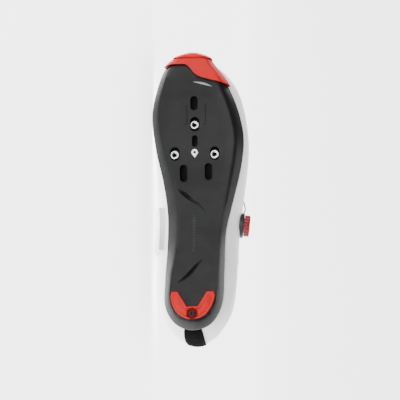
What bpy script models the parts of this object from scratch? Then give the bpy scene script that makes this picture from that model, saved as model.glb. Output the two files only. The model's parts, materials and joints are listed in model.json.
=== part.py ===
"""Left road cycling shoe with a lace dial, lying on its inner side.

The shoe is modelled standing: X runs from the heel to the toe, Y to the outer side (the
little toe's) and Z up from the tread plane. An empty then lays it on its inner side.
Lengths are metres. Table columns hold shares of the named sizes.
"""

import math
from typing import NamedTuple

import bmesh
import bpy
import numpy as np
from mathutils import Matrix, Vector

# Main sizes of the last and the sole
SOLE_LENGTH = 0.2680
BALL_WIDTH = 0.0860
INSTEP_HEIGHT = 0.0880
HEEL_HEIGHT = 0.0740
TOE_SPRING = 0.0180
ARCH_RISE = 0.0110
HEEL_STACK = 0.0140
BALL_STACK = 0.0095

# Sole plate
PLATE_THICKNESS = 0.0046
RIM_EDGE = 0.0022
RIM_WALL = 0.0044
DISH_SLOPE = 0.0040
RIM_CURVE = 1.25
BEAD_WIDTH = 0.0048
BEAD_HEIGHT = 0.0006
TREAD_PAD_DROP = 0.0022
SOLE_STATIONS = 52

# Cleat fittings: the three-bolt pattern, its slots and its nuts
PATTERN_ALONG = 0.0287
PATTERN_ACROSS = 0.0363
PATTERN_PLACE = 0.6985
PATTERN_OFFSET = 0.0008
STUD_BEHIND = 0.93
SLOT_DEPTH = 0.0030
NUT_DIAMETER = 0.0078
NUT_BORE = 0.0040
NUT_HEIGHT = 0.0023
NUT_CHAMFER = 0.0006
RIVET_RADIUS = 0.0031
RIVET_TAIL = 0.0052
RIVET_HEIGHT = 0.0014
RIVET_PROUD = 0.0003

# Rubber pieces
BUMPER_THICKNESS = 0.0013
BUMPER_LIP = 0.0010
BUMPER_LIP_HALF = 0.0193
BUMPER_LIP_BACK = 0.030
BUMPER_LIP_OFFSET = -0.0015
PAD_INSET = 0.0066
PAD_FRONT = 0.0308
PAD_NOTCH_BACK = 0.0175
PAD_NOTCH_WIDE = 0.0130
PAD_NOTCH_NARROW = 0.0049
PAD_POCKET = 0.0015
PAD_ROUND = 0.0006
PAD_SCREW_PLACE = 0.0113
PAD_SCREW_RADIUS = 0.0027
PAD_HEX = 0.0056
PAD_HEX_DEPTH = 0.0006
PAD_OFFSET = -0.0015
PAD_FRONT_CORNER = 0.0012

# Upper, tongue and insole
UPPER_WALL = 0.0022
FEATHER_INSET = 0.0016
UPPER_COLUMNS = 80
UPPER_ROWS = 12
TONGUE_THICKNESS = 0.0040
TONGUE_OVERLAP = 0.0110
TONGUE_RISE = 0.0150
TONGUE_GAP = 0.0008
TONGUE_TAPER = 0.28
INSOLE_THICKNESS = 0.0026
INSOLE_INSET = 0.0105
INSOLE_LIFT = 0.0006

# Pieces on the upper
STRIP_THICKNESS = 0.0013
EYESTAY_THICKNESS = 0.0013
WING_THICKNESS = 0.0052
WING_LEAN = 0.018
GUIDE_LENGTH = 0.0105
GUIDE_RADIUS = 0.0021
GUIDE_BORE = 0.0011
WIRE_RADIUS = 0.0006
WIRE_LIFT = 0.0033
WIRE_LEAD = 0.0016
DIAL_PLACE = (19.15, 0.475)
DIAL_BASE_RADIUS = 0.0118
DIAL_BASE_HEIGHT = 0.0030
DIAL_BASE_ROOT = 0.0060
DIAL_BASE_CHAMFER = 0.0012
DIAL_KNOB_RADIUS = 0.0100
DIAL_KNOB_HEIGHT = 0.0052
DIAL_TEETH = 20
DIAL_TOOTH_DEPTH = 0.0005

# Gaps between neighbours
CLEARANCE = 0.0003
SKIN_GAP = 0.0005


class Station(NamedTuple):
    """One section of the shoe, from the sole's edge up to the upper's top edge.

    along, across: the sole's edge, shares of SOLE_LENGTH and BALL_WIDTH.
    edge_along, edge_across: the top edge, shares of the same two sizes.
    edge_instep, edge_heel: the top edge's height, shares of INSTEP_HEIGHT and HEEL_HEIGHT.
    low_out, low_up: lower bulge, share of BALL_WIDTH outward and of the rise upward.
    high_out, high_up: upper bulge, measured outward from the top edge.
    """

    along: float
    across: float
    edge_along: float
    edge_across: float
    edge_instep: float
    edge_heel: float
    low_out: float
    low_up: float
    high_out: float
    high_up: float


STATIONS = (
    Station(0.000, -0.025, -0.006, -0.010, 0.000, 1.000, 0.085, 0.30, 0.045, 0.72),
    Station(0.022, -0.205, 0.018, -0.180, 0.000, 0.985, 0.085, 0.30, 0.062, 0.72),
    Station(0.080, -0.308, 0.080, -0.280, 0.000, 0.880, 0.095, 0.30, 0.090, 0.75),
    Station(0.170, -0.309, 0.175, -0.330, 0.250, 0.450, 0.145, 0.32, 0.090, 0.78),
    Station(0.285, -0.288, 0.290, -0.345, 0.600, 0.110, 0.175, 0.28, 0.100, 0.70),
    Station(0.400, -0.290, 0.385, -0.285, 0.955, 0.000, 0.180, 0.34, 0.185, 0.79),
    Station(0.510, -0.335, 0.475, -0.200, 0.910, 0.000, 0.182, 0.36, 0.260, 0.70),
    Station(0.620, -0.410, 0.565, -0.140, 0.795, 0.000, 0.090, 0.40, 0.285, 0.70),
    Station(0.745, -0.453, 0.640, -0.095, 0.685, 0.000, 0.030, 0.44, 0.320, 0.72),
    Station(0.860, -0.395, 0.685, -0.065, 0.625, 0.000, 0.010, 0.48, 0.380, 0.76),
    Station(0.935, -0.322, 0.708, -0.040, 0.600, 0.000, 0.000, 0.52, 0.480, 0.76),
    Station(0.975, -0.215, 0.719, -0.020, 0.588, 0.000, 0.005, 0.58, 0.560, 0.76),
    Station(0.994, -0.035, 0.724, 0.000, 0.583, 0.000, 0.010, 0.62, 0.600, 0.76),
    Station(0.975, 0.130, 0.719, 0.020, 0.588, 0.000, 0.045, 0.58, 0.560, 0.76),
    Station(0.935, 0.212, 0.708, 0.040, 0.600, 0.000, 0.250, 0.50, 0.480, 0.75),
    Station(0.860, 0.350, 0.685, 0.065, 0.625, 0.000, 0.280, 0.44, 0.445, 0.70),
    Station(0.760, 0.466, 0.640, 0.095, 0.685, 0.000, 0.226, 0.40, 0.400, 0.64),
    Station(0.660, 0.524, 0.565, 0.140, 0.795, 0.000, 0.182, 0.36, 0.350, 0.62),
    Station(0.560, 0.496, 0.475, 0.200, 0.910, 0.000, 0.155, 0.35, 0.298, 0.66),
    Station(0.450, 0.408, 0.385, 0.285, 0.955, 0.000, 0.155, 0.34, 0.210, 0.72),
    Station(0.340, 0.327, 0.290, 0.340, 0.600, 0.110, 0.195, 0.34, 0.140, 0.78),
    Station(0.200, 0.305, 0.175, 0.325, 0.250, 0.430, 0.205, 0.32, 0.125, 0.76),
    Station(0.090, 0.285, 0.080, 0.270, 0.000, 0.860, 0.145, 0.32, 0.105, 0.74),
    Station(0.022, 0.170, 0.018, 0.160, 0.000, 0.980, 0.090, 0.30, 0.060, 0.72),
)


class Profile(NamedTuple):
    """The sole's side view and rim at one place.

    along: share of SOLE_LENGTH.
    arch, spring: rise of the tread, shares of ARCH_RISE and TOE_SPRING.
    heel_stack, ball_stack: tread to rim top, shares of HEEL_STACK and BALL_STACK.
    inner_rim, outer_rim: rim width seen from below, shares of BALL_WIDTH.
    bead: height of the outer rim's bead, share of BEAD_HEIGHT.
    pad_drop: rise of the plate that leaves the heel pad proud, share of TREAD_PAD_DROP.
    """

    along: float
    arch: float
    spring: float
    heel_stack: float
    ball_stack: float
    inner_rim: float
    outer_rim: float
    bead: float
    pad_drop: float


PROFILES = (
    Profile(0.00, 0.10, 0.00, 1.00, 0.00, 0.065, 0.065, 0.0, 1.0),
    Profile(0.05, 0.02, 0.00, 1.00, 0.00, 0.065, 0.060, 0.0, 1.0),
    Profile(0.10, 0.00, 0.00, 1.00, 0.00, 0.065, 0.060, 0.0, 1.0),
    Profile(0.17, 0.00, 0.00, 1.00, 0.00, 0.075, 0.060, 0.0, 1.0),
    Profile(0.24, 0.25, 0.00, 0.95, 0.00, 0.095, 0.060, 0.0, 0.7),
    Profile(0.32, 0.70, 0.00, 0.80, 0.00, 0.110, 0.058, 0.0, 0.2),
    Profile(0.40, 1.00, 0.00, 0.60, 0.18, 0.112, 0.058, 0.0, 0.0),
    Profile(0.46, 0.85, 0.00, 0.38, 0.50, 0.110, 0.062, 0.2, 0.0),
    Profile(0.52, 0.45, 0.00, 0.14, 0.84, 0.095, 0.070, 0.5, 0.0),
    Profile(0.57, 0.12, 0.00, 0.03, 0.96, 0.080, 0.075, 0.8, 0.0),
    Profile(0.62, 0.00, 0.00, 0.00, 1.00, 0.074, 0.078, 0.9, 0.0),
    Profile(0.68, 0.00, 0.00, 0.00, 1.00, 0.070, 0.080, 1.0, 0.0),
    Profile(0.78, 0.00, 0.00, 0.00, 1.00, 0.070, 0.082, 1.0, 0.0),
    Profile(0.85, 0.00, 0.16, 0.00, 1.00, 0.070, 0.080, 0.4, 0.0),
    Profile(0.92, 0.00, 0.48, 0.00, 0.98, 0.066, 0.072, 0.0, 0.0),
    Profile(1.00, 0.00, 1.00, 0.00, 0.95, 0.060, 0.060, 0.0, 0.0),
)

COLOURS = {
    "composite": ((0.045, 0.046, 0.048, 1.0), 0.42, 0.0),
    "red_rubber": ((0.80, 0.035, 0.030, 1.0), 0.50, 0.0),
    "black_plastic": ((0.020, 0.020, 0.022, 1.0), 0.35, 0.0),
    "bright_steel": ((0.82, 0.83, 0.84, 1.0), 0.22, 1.0),
    "dark_steel": ((0.10, 0.10, 0.11, 1.0), 0.35, 1.0),
    "white_shell": ((0.86, 0.87, 0.87, 1.0), 0.38, 0.0),
    "white_mesh": ((0.80, 0.81, 0.81, 1.0), 0.70, 0.0),
    "grey_foam": ((0.10, 0.10, 0.11, 1.0), 0.85, 0.0),
}


def periodic_rows(rows, places):
    """Read a closed table at the given places, where 1.0 is one row (Catmull-Rom)."""
    table = np.array(rows, dtype=float)
    count = len(table)
    places = np.asarray(places, dtype=float)
    start = np.floor(places).astype(int)
    share = (places - start)[..., None]
    p0, p1, p2, p3 = (table[(start + step) % count] for step in (-1, 0, 1, 2))
    return p1 + 0.5 * share * (
        p2 - p0 + share * (2 * p0 - 5 * p1 + 4 * p2 - p3 + share * (3 * (p1 - p2) + p3 - p0))
    )


def monotone_rows(rows, column, places):
    """Read one column of an open table, with no overshoot between its rows."""
    along = np.array([row.along for row in rows])
    values = np.array([getattr(row, column) for row in rows])
    steps = np.diff(along)
    slopes = np.diff(values) / steps
    tangents = np.zeros(len(values))
    same_way = slopes[:-1] * slopes[1:] > 0
    harmonic = 2 * slopes[:-1] * slopes[1:] / np.where(same_way, slopes[:-1] + slopes[1:], 1.0)
    tangents[1:-1] = np.where(same_way, harmonic, 0.0)
    tangents[0] = slopes[0]
    tangents[-1] = slopes[-1]
    places = np.clip(places, along[0], along[-1])
    index = np.clip(np.searchsorted(along, places, side="right") - 1, 0, len(steps) - 1)
    step = steps[index]
    t = (places - along[index]) / step
    return (
        (1 + 2 * t) * (1 - t) ** 2 * values[index]
        + t * (1 - t) ** 2 * step * tangents[index]
        + t * t * (3 - 2 * t) * values[index + 1]
        + t * t * (t - 1) * step * tangents[index + 1]
    )


def sole_column(column, x):
    """One column of the sole's side view at the lengths x, in metres."""
    return monotone_rows(PROFILES, column, np.asarray(x, dtype=float) / SOLE_LENGTH)


def tread_line(x):
    """Height of the plate's middle above the tread plane."""
    return (
        ARCH_RISE * sole_column("arch", x)
        + TOE_SPRING * sole_column("spring", x)
        + TREAD_PAD_DROP * sole_column("pad_drop", x)
    )


def rim_top(x):
    """Height of the sole's bed and of its rim's top edge."""
    stack = HEEL_STACK * sole_column("heel_stack", x) + BALL_STACK * sole_column("ball_stack", x)
    return tread_line(x) + stack


def sole_edge(places):
    """Plan position of the sole's edge at the stations' places."""
    rows = periodic_rows(STATIONS, places)
    return np.stack([rows[..., 0] * SOLE_LENGTH, rows[..., 1] * BALL_WIDTH], axis=-1)


def edge_outward(places):
    """Level unit vector that points out of the sole at each place of its edge."""
    step = 0.02
    tangent = sole_edge(np.asarray(places) + step) - sole_edge(np.asarray(places) - step)
    outward = np.stack([tangent[..., 1], -tangent[..., 0]], axis=-1)
    return outward / np.linalg.norm(outward, axis=-1, keepdims=True)


def upper_base(u, v):
    """Points of the upper's outer face: u counts stations, v runs from sole to top edge."""
    u, v = np.broadcast_arrays(np.asarray(u, dtype=float), np.asarray(v, dtype=float))
    rows = periodic_rows(STATIONS, u)
    column = {name: rows[..., index] for index, name in enumerate(Station._fields)}
    outward = edge_outward(u)
    foot = sole_edge(u) - outward * FEATHER_INSET
    foot_z = rim_top(foot[..., 0]) + SKIN_GAP
    edge_xy = np.stack([column["edge_along"] * SOLE_LENGTH, column["edge_across"] * BALL_WIDTH], axis=-1)
    edge_z = column["edge_instep"] * INSTEP_HEIGHT + column["edge_heel"] * HEEL_HEIGHT
    rise = edge_z - foot_z
    low_xy = foot + outward * (column["low_out"] * BALL_WIDTH)[..., None]
    high_xy = edge_xy + outward * (column["high_out"] * BALL_WIDTH)[..., None]
    corners = (
        np.concatenate([foot, foot_z[..., None]], axis=-1),
        np.concatenate([low_xy, (foot_z + column["low_up"] * rise)[..., None]], axis=-1),
        np.concatenate([high_xy, (foot_z + column["high_up"] * rise)[..., None]], axis=-1),
        np.concatenate([edge_xy, edge_z[..., None]], axis=-1),
    )
    t = v[..., None]
    weights = ((1 - t) ** 3, 3 * t * (1 - t) ** 2, 3 * t * t * (1 - t), t**3)
    return sum(weight * corner for weight, corner in zip(weights, corners))


def upper_surface(u, v, lift=0.0):
    """Points on the upper's outer face, moved out by lift along the face's normal."""
    points = upper_base(u, v)
    if lift == 0.0:
        return points
    step = 0.02
    round_way = upper_base(np.asarray(u) + step, v) - upper_base(np.asarray(u) - step, v)
    low = np.clip(np.asarray(v) - step, 0.0, 1.0)
    high = np.clip(np.asarray(v) + step, 0.0, 1.0)
    up_way = upper_base(u, high) - upper_base(u, low)
    normal = np.cross(round_way, up_way)
    return points + lift * normal / np.linalg.norm(normal, axis=-1, keepdims=True)


def sole_outline(grow):
    """The sole's edge as a fine closed outline, moved out by grow."""
    places = np.linspace(0.0, len(STATIONS), 481)
    return sole_edge(places) + edge_outward(places) * grow


def half_widths(outline, x):
    """Inner and outer edge of an outline at the lengths x."""
    toe = int(np.argmax(outline[:, 0]))
    heel = int(np.argmin(outline[: toe + 1, 0]))
    tail = int(np.argmin(outline[toe:, 0])) + toe
    inner = np.interp(x, outline[heel : toe + 1, 0], outline[heel : toe + 1, 1])
    outer_x = outline[toe : tail + 1, 0][::-1]
    outer = np.interp(x, outer_x, outline[toe : tail + 1, 1][::-1])
    return inner, outer


def edge_distance(outline, x, y):
    """Distance from points inside an outline to its nearest side."""
    a = outline[:-1]
    side = outline[1:] - a
    points = np.stack([x, y], axis=-1)[:, None, :]
    share = np.clip(((points - a) * side).sum(-1) / np.maximum((side * side).sum(-1), 1e-14), 0.0, 1.0)
    return np.sqrt(((points - a - share[..., None] * side) ** 2).sum(-1)).min(axis=1)


def tread_surface(outline, x, y):
    """Height of the sole's underside: plate, outer bead, and the rim that turns up."""
    middle = sum(half_widths(outline, x)) / 2
    outer = y > middle
    inset = BALL_WIDTH * np.where(outer, sole_column("outer_rim", x), sole_column("inner_rim", x))
    distance = edge_distance(outline, x, y)
    plate = tread_line(x)
    rim_rise = rim_top(x) - RIM_EDGE - plate
    turn = np.clip(1.0 - distance / inset, 0.0, 1.0) ** RIM_CURVE
    bead_share = np.clip((distance - inset) / BEAD_WIDTH, 0.0, 1.0)
    bead = np.sin(math.pi * bead_share) * sole_column("bead", x) * outer
    return plate + rim_rise * turn - BEAD_HEIGHT * bead


def bed_surface(outline, x, y):
    """Height of the sole's top: level on the rim's wall, dished inside it."""
    stack = rim_top(x) - tread_line(x)
    dish = np.maximum(stack - PLATE_THICKNESS, 0.0)
    share = np.clip((edge_distance(outline, x, y) - RIM_WALL) / DISH_SLOPE, 0.0, 1.0)
    return rim_top(x) - dish * share


def sole_stations(outline):
    """Lengths at which the sole's form is cut, closer together at its two ends."""
    low, high = outline[:, 0].min(), outline[:, 0].max()
    angles = np.linspace(0.45, SOLE_STATIONS - 0.45, SOLE_STATIONS) * math.pi / SOLE_STATIONS
    return low + (high - low) * (1 - np.cos(angles)) / 2


def sole_loops(grow=0.0, lower=0.0, raise_top=0.0):
    """Cross sections of the sole's form from heel to toe, moved out by grow."""
    outline = sole_outline(grow)
    stations = sole_stations(outline)
    wall_line = sole_outline(grow - RIM_WALL)
    dish_line = sole_outline(grow - RIM_WALL - DISH_SLOPE)
    loops = []
    for x in stations:
        inner, outer = half_widths(outline, x)
        width = outer - inner
        reach = 0.30 * width
        rim_in = min(BALL_WIDTH * float(sole_column("inner_rim", x)), reach)
        rim_out = min(BALL_WIDTH * float(sole_column("outer_rim", x)), reach)
        bead = min(BEAD_WIDTH, 0.5 * (width - rim_in - rim_out))
        left = inner + rim_in * np.array([0.0, 0.33, 0.66, 1.0])
        right = outer - rim_out * np.array([1.0, 0.66, 0.33, 0.0])
        beads = right[0] - bead * np.array([1.0, 0.5])
        middle = np.linspace(left[-1], beads[0], 5)[1:-1]
        bottom_y = np.concatenate([left, middle, beads, right])
        near = min(RIM_WALL, 0.08 * width)
        far = min(RIM_WALL + DISH_SLOPE, 0.16 * width)
        walls = np.clip(half_widths(wall_line, x), inner + near, outer - near)
        slopes = np.clip(half_widths(dish_line, x), inner + far, outer - far)
        centre = (slopes[0] + slopes[1]) / 2
        slopes[0] = min(slopes[0], centre - 0.05 * width)
        slopes[1] = max(slopes[1], centre + 0.05 * width)
        walls[0] = min(walls[0], slopes[0] - 0.04 * width)
        walls[1] = max(walls[1], slopes[1] + 0.04 * width)
        top_y = np.array([outer, walls[1], slopes[1], slopes[0], walls[0], inner])
        bottom_z = tread_surface(outline, np.full_like(bottom_y, x), bottom_y) - lower
        if raise_top:
            top_z = np.full_like(top_y, float(rim_top(x)) + raise_top)
        else:
            top_z = bed_surface(outline, np.full_like(top_y, x), top_y)
        y = np.concatenate([bottom_y, top_y])
        z = np.concatenate([bottom_z, top_z])
        loops.append(np.stack([np.full_like(y, x), y, z], axis=-1))
    return loops


def mesh_object(name, mesh, collection, parent):
    """Put a mesh in the scene as a named object under the shoe's empty."""
    piece = bpy.data.objects.new(name, mesh)
    collection.objects.link(piece)
    piece.parent = parent
    return piece


def bm_to_mesh(name, bm):
    """Finish a bmesh as a mesh with its faces pointing out."""
    bmesh.ops.remove_doubles(bm, verts=bm.verts, dist=1e-6)
    bmesh.ops.recalc_face_normals(bm, faces=bm.faces)
    mesh = bpy.data.meshes.new(name)
    bm.to_mesh(mesh)
    bm.free()
    return mesh


def loft_mesh(name, loops, close_loops=True, cap_ends=True, close_run=False):
    """Skin a run of loops that have the same number of points."""
    bm = bmesh.new()
    rings = [[bm.verts.new(point) for point in loop] for loop in loops]
    pairs = list(zip(rings, rings[1:]))
    if close_run:
        pairs.append((rings[-1], rings[0]))
    for ring, following in pairs:
        count = len(ring) if close_loops else len(ring) - 1
        for index in range(count):
            after = (index + 1) % len(ring)
            bm.faces.new((ring[index], ring[after], following[after], following[index]))
    if cap_ends:
        bm.faces.new(rings[0][::-1])
        bm.faces.new(rings[-1])
    return bm_to_mesh(name, bm)


def open_surface(name, grid, close_columns=False):
    """Open sheet from a grid of points, its faces towards the outside of the shoe."""
    bm = bmesh.new()
    rows = [[bm.verts.new(point) for point in row] for row in grid]
    for row, above in zip(rows, rows[1:]):
        count = len(row) if close_columns else len(row) - 1
        for index in range(count):
            after = (index + 1) % len(row)
            bm.faces.new((row[index], row[after], above[after], above[index]))
    mesh = bpy.data.meshes.new(name)
    bm.to_mesh(mesh)
    bm.free()
    return mesh


def solidify(piece, thickness, offset, even=True):
    """Give an open sheet its wall; offset -1 grows it inward and 1 outward."""
    modifier = piece.modifiers.new("wall", "SOLIDIFY")
    modifier.thickness = thickness
    modifier.offset = offset
    modifier.use_even_offset = even


def paint(piece, slot):
    """Give a piece the Principled material of its slot."""
    colour, roughness, metallic = COLOURS[slot]
    material = bpy.data.materials.get(slot) or bpy.data.materials.new(slot)
    material.use_nodes = True
    shader = material.node_tree.nodes["Principled BSDF"]
    shader.inputs["Base Color"].default_value = colour
    shader.inputs["Roughness"].default_value = roughness
    shader.inputs["Metallic"].default_value = metallic
    piece.data.materials.clear()
    piece.data.materials.append(material)
    piece.data.shade_smooth()
    piece.data.set_sharp_from_angle(angle=math.radians(35))


def build_outsole(parts, cutters, root):
    """Composite plate with rim, arch and toe spring, and everything cut into it."""
    piece = mesh_object("outsole", loft_mesh("outsole", sole_loops()), parts, root)
    cut_outsole(piece, cutters, root)
    paint(piece, "composite")
    return piece


def build_upper(parts, parent):
    """Hollow upper, open at collar, throat and underneath."""
    u = np.arange(UPPER_COLUMNS) * len(STATIONS) / UPPER_COLUMNS
    grid = [upper_surface(u, np.full_like(u, v)) for v in np.linspace(0.0, 1.0, UPPER_ROWS)]
    piece = mesh_object("upper", open_surface("upper", grid, close_columns=True), parts, parent)
    solidify(piece, UPPER_WALL, -1.0, even=False)
    paint(piece, "white_shell")
    return piece


def tongue_section(u, flank):
    """Line across the tongue at one pair of stations, under both throat edges."""
    inset = -(UPPER_WALL + TONGUE_GAP)
    v = 1.0 - flank * np.linspace(1.0, 0.0, 4)
    inner = upper_surface(np.full_like(v, u), v, inset)
    outer = upper_surface(np.full_like(v, len(STATIONS) - u), v, inset)[::-1]
    share = np.linspace(0.0, 1.0, 7)[1:-1][:, None]
    bridge = inner[-1] * (1 - share) + outer[0] * share
    gap = np.linalg.norm(outer[0] - inner[-1])
    bridge[:, 2] += 0.30 * gap * (share * (1 - share))[:, 0]
    return np.concatenate([inner, bridge, outer])


def build_tongue(parts, parent):
    """Padded tongue under the throat, with its end above the collar."""
    places = np.linspace(11.0, 5.15, 15)
    sections = []
    for u in places:
        edge = upper_surface(u, 1.0) - upper_surface(u, 0.8)
        flank = min(0.2 * TONGUE_OVERLAP / np.linalg.norm(edge), 0.22)
        sections.append(tongue_section(u, flank))
    top = sections[-1]
    centre = top.mean(axis=0)
    lean = np.array([-0.62, 0.0, 0.78])
    for share in (0.4, 0.75, 1.0):
        narrow = 1.0 - TONGUE_TAPER * share**0.7
        moved = (top - centre) * np.array([1.0, narrow, 1.0]) + centre
        sections.append(moved + lean * TONGUE_RISE * share)
    piece = mesh_object("tongue", open_surface("tongue", sections), parts, parent)
    solidify(piece, TONGUE_THICKNESS, -1.0)
    paint(piece, "white_mesh")
    return piece


def build_insole(parts, parent):
    """Thin footbed on the sole's bed, clear of the upper's wall."""
    outline = sole_outline(-INSOLE_INSET)
    low, high = outline[:, 0].min(), outline[:, 0].max()
    loops = []
    for x in sole_stations(sole_outline(0.0)):
        if not low < x < high:
            continue
        inner, outer = half_widths(outline, x)
        base = float(tread_line(x)) + PLATE_THICKNESS + INSOLE_LIFT
        y = np.linspace(inner, outer, 5)
        under = np.stack([np.full(5, x), y, np.full(5, base)], axis=-1)
        over = np.stack([np.full(5, x), y[::-1], np.full(5, base + INSOLE_THICKNESS)], axis=-1)
        loops.append(np.concatenate([under, over]))
    piece = mesh_object("insole", loft_mesh("insole", loops), parts, parent)
    paint(piece, "grey_foam")
    return piece


def plate_matrix(x, y, turn=0.0):
    """Place on the plate's underside: Z points out of the sole, X runs towards the toe."""
    step = 0.001
    slope = float(tread_line(x + step) - tread_line(x - step)) / (2 * step)
    ahead = Vector((1.0, 0.0, slope)).normalized()
    out = Vector((slope, 0.0, -1.0)).normalized()
    side = out.cross(ahead)
    basis = Matrix((ahead, side, out)).transposed().to_4x4()
    return Matrix.Translation((x, y, float(tread_line(x)))) @ basis @ Matrix.Rotation(turn, 4, "Z")


def slot_outline(length, width, sides=6):
    """Outline of a slot with round ends, its length along X."""
    radius = width / 2
    reach = max(length / 2 - radius, 0.0)
    points = []
    for centre, start in ((reach, -90), (-reach, 90)):
        for index in range(sides + 1):
            angle = math.radians(start + 180 * index / sides)
            points.append((centre + radius * math.cos(angle), radius * math.sin(angle)))
    return points


def prism_mesh(name, outline, low, high, matrix=None):
    """Straight-sided solid over a flat outline."""
    bm = bmesh.new()
    base = bm.faces.new([bm.verts.new((x, y, low)) for x, y in outline])
    grown = bmesh.ops.extrude_face_region(bm, geom=[base])
    for vertex in [item for item in grown["geom"] if isinstance(item, bmesh.types.BMVert)]:
        vertex.co.z = high
    if matrix is not None:
        bm.transform(matrix)
    return bm_to_mesh(name, bm)


def boolean(piece, cutter, operation="DIFFERENCE"):
    """Cut or join one piece with another, exactly."""
    modifier = piece.modifiers.new(cutter.name, "BOOLEAN")
    modifier.operation = operation
    modifier.solver = "EXACT"
    modifier.object = cutter


def cutter_object(name, mesh, cutters, root):
    """A cutting form, kept out of the model."""
    cutter = mesh_object(name, mesh, cutters, root)
    cutter.hide_render = True
    cutter.display_type = "WIRE"
    return cutter


def tube_mesh(name, points, radii, resolution):
    """Closed tube along points, its radius given at each point."""
    curve = bpy.data.curves.new(name, "CURVE")
    curve.dimensions = "3D"
    curve.bevel_depth = 1.0
    curve.bevel_resolution = resolution
    curve.use_fill_caps = True
    spline = curve.splines.new("POLY")
    spline.points.add(len(points) - 1)
    for spot, point, radius in zip(spline.points, points, radii):
        spot.co = (*point, 1.0)
        spot.radius = radius
    holder = bpy.data.objects.new(name, curve)
    bpy.context.scene.collection.objects.link(holder)
    graph = bpy.context.evaluated_depsgraph_get()
    mesh = bpy.data.meshes.new_from_object(holder.evaluated_get(graph))
    bpy.data.objects.remove(holder, do_unlink=True)
    bpy.data.curves.remove(curve)
    bm = bmesh.new()
    bm.from_mesh(mesh)
    bpy.data.meshes.remove(mesh)
    return bm_to_mesh(name, bm)


def cleat_places():
    """Plan places of the three nuts: the front one and the two behind it."""
    front_x = PATTERN_PLACE * SOLE_LENGTH
    rear_x = front_x - PATTERN_ALONG
    return {
        "front": (front_x, PATTERN_OFFSET),
        "rear_inner": (rear_x, PATTERN_OFFSET - PATTERN_ACROSS / 2),
        "rear_outer": (rear_x, PATTERN_OFFSET + PATTERN_ACROSS / 2),
    }


class Slot(NamedTuple):
    """A slot of the plate, placed from the front nut in shares of the bolt pattern.

    ahead, aside: shares of PATTERN_ALONG and PATTERN_ACROSS.
    length, width: metres.
    """

    name: str
    ahead: float
    aside: float
    length: float
    width: float


SLOTS = (
    Slot("slot_toe", 0.74, -0.020, 0.0142, 0.0068),
    Slot("slot_front_nut", 0.02, 0.000, 0.0142, 0.0084),
    Slot("slot_middle", -0.555, 0.000, 0.0112, 0.0052),
    Slot("slot_inner_nut", -0.97, -0.500, 0.0128, 0.0084),
    Slot("slot_outer_nut", -0.97, 0.500, 0.0128, 0.0084),
    Slot("slot_inner_rear", -1.58, -0.290, 0.0160, 0.0068),
    Slot("slot_outer_rear", -1.54, 0.335, 0.0156, 0.0068),
)


class Groove(NamedTuple):
    """One point of a moulded hollow under the arch: shares of the sole's size, and radius."""

    along: float
    across: float
    radius: float


ARCH_GROOVES = {
    "groove_front": (
        Groove(0.478, -0.170, 0.0006),
        Groove(0.466, -0.120, 0.0019),
        Groove(0.452, -0.070, 0.0021),
        Groove(0.440, -0.025, 0.0013),
        Groove(0.426, 0.045, 0.0008),
        Groove(0.406, 0.105, 0.0004),
    ),
    "groove_rear": (
        Groove(0.148, -0.165, 0.0004),
        Groove(0.162, -0.100, 0.0015),
        Groove(0.182, -0.035, 0.0019),
        Groove(0.205, 0.025, 0.0016),
        Groove(0.225, 0.085, 0.0004),
    ),
}


def drop_outline(grow):
    """Outline of the drop-shaped stud: a round head and a tail towards the heel."""
    radius = RIVET_RADIUS + grow
    points = []
    for index in range(13):
        angle = math.radians(-125 + 250 * index / 12)
        points.append((radius * math.cos(angle), radius * math.sin(angle)))
    points.append((-RIVET_TAIL - grow, 0.0))
    return points


def pad_outline(grow):
    """Outline of the U-shaped heel pad, which follows the sole's edge."""
    edge = sole_outline(grow - PAD_INSET)[::8]
    front = PAD_FRONT + grow
    heel = [tuple(point) for point in edge[:-1] if point[0] < front - 0.002]
    inner = sorted((point for point in heel if point[1] < PAD_OFFSET), key=lambda point: -point[0])
    outer = sorted((point for point in heel if point[1] >= PAD_OFFSET), key=lambda point: point[0])
    wide = PAD_NOTCH_WIDE - grow
    narrow = PAD_NOTCH_NARROW - grow
    back = PAD_NOTCH_BACK + grow
    notch = [
        (front, outer[-1][1] - PAD_FRONT_CORNER),
        (front, PAD_OFFSET + wide),
        (back, PAD_OFFSET + narrow),
        (back, PAD_OFFSET - narrow),
        (front, PAD_OFFSET - wide),
        (front, inner[0][1] + PAD_FRONT_CORNER),
    ]
    return inner + outer + notch


def cut_outsole(sole, cutters, root):
    """Cut the cleat slots, the stud's and the pad's pockets and the arch hollows."""
    front_x, front_y = cleat_places()["front"]
    for row in SLOTS:
        x = front_x + row.ahead * PATTERN_ALONG
        y = front_y + row.aside * PATTERN_ACROSS
        outline = slot_outline(row.length, row.width)
        mesh = prism_mesh(row.name, outline, -SLOT_DEPTH, SLOT_DEPTH, plate_matrix(x, y))
        boolean(sole, cutter_object(row.name, mesh, cutters, root))
    stud = plate_matrix(*stud_place())
    mesh = prism_mesh("pocket_stud", drop_outline(CLEARANCE), -RIVET_HEIGHT, RIVET_HEIGHT, stud)
    boolean(sole, cutter_object("pocket_stud", mesh, cutters, root))
    floor = TREAD_PAD_DROP + PAD_POCKET
    mesh = prism_mesh("pocket_pad", pad_outline(CLEARANCE), -floor, floor)
    boolean(sole, cutter_object("pocket_pad", mesh, cutters, root))
    for name, rows in ARCH_GROOVES.items():
        points = []
        for row in rows:
            x = row.along * SOLE_LENGTH
            points.append((x, row.across * BALL_WIDTH, float(tread_line(x))))
        mesh = tube_mesh(name, points, [row.radius for row in rows], 2)
        boolean(sole, cutter_object(name, mesh, cutters, root))


def stud_place():
    """Plan place of the drop-shaped stud, behind the middle slot."""
    front_x, front_y = cleat_places()["front"]
    return front_x - STUD_BEHIND * PATTERN_ALONG, front_y


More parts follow.
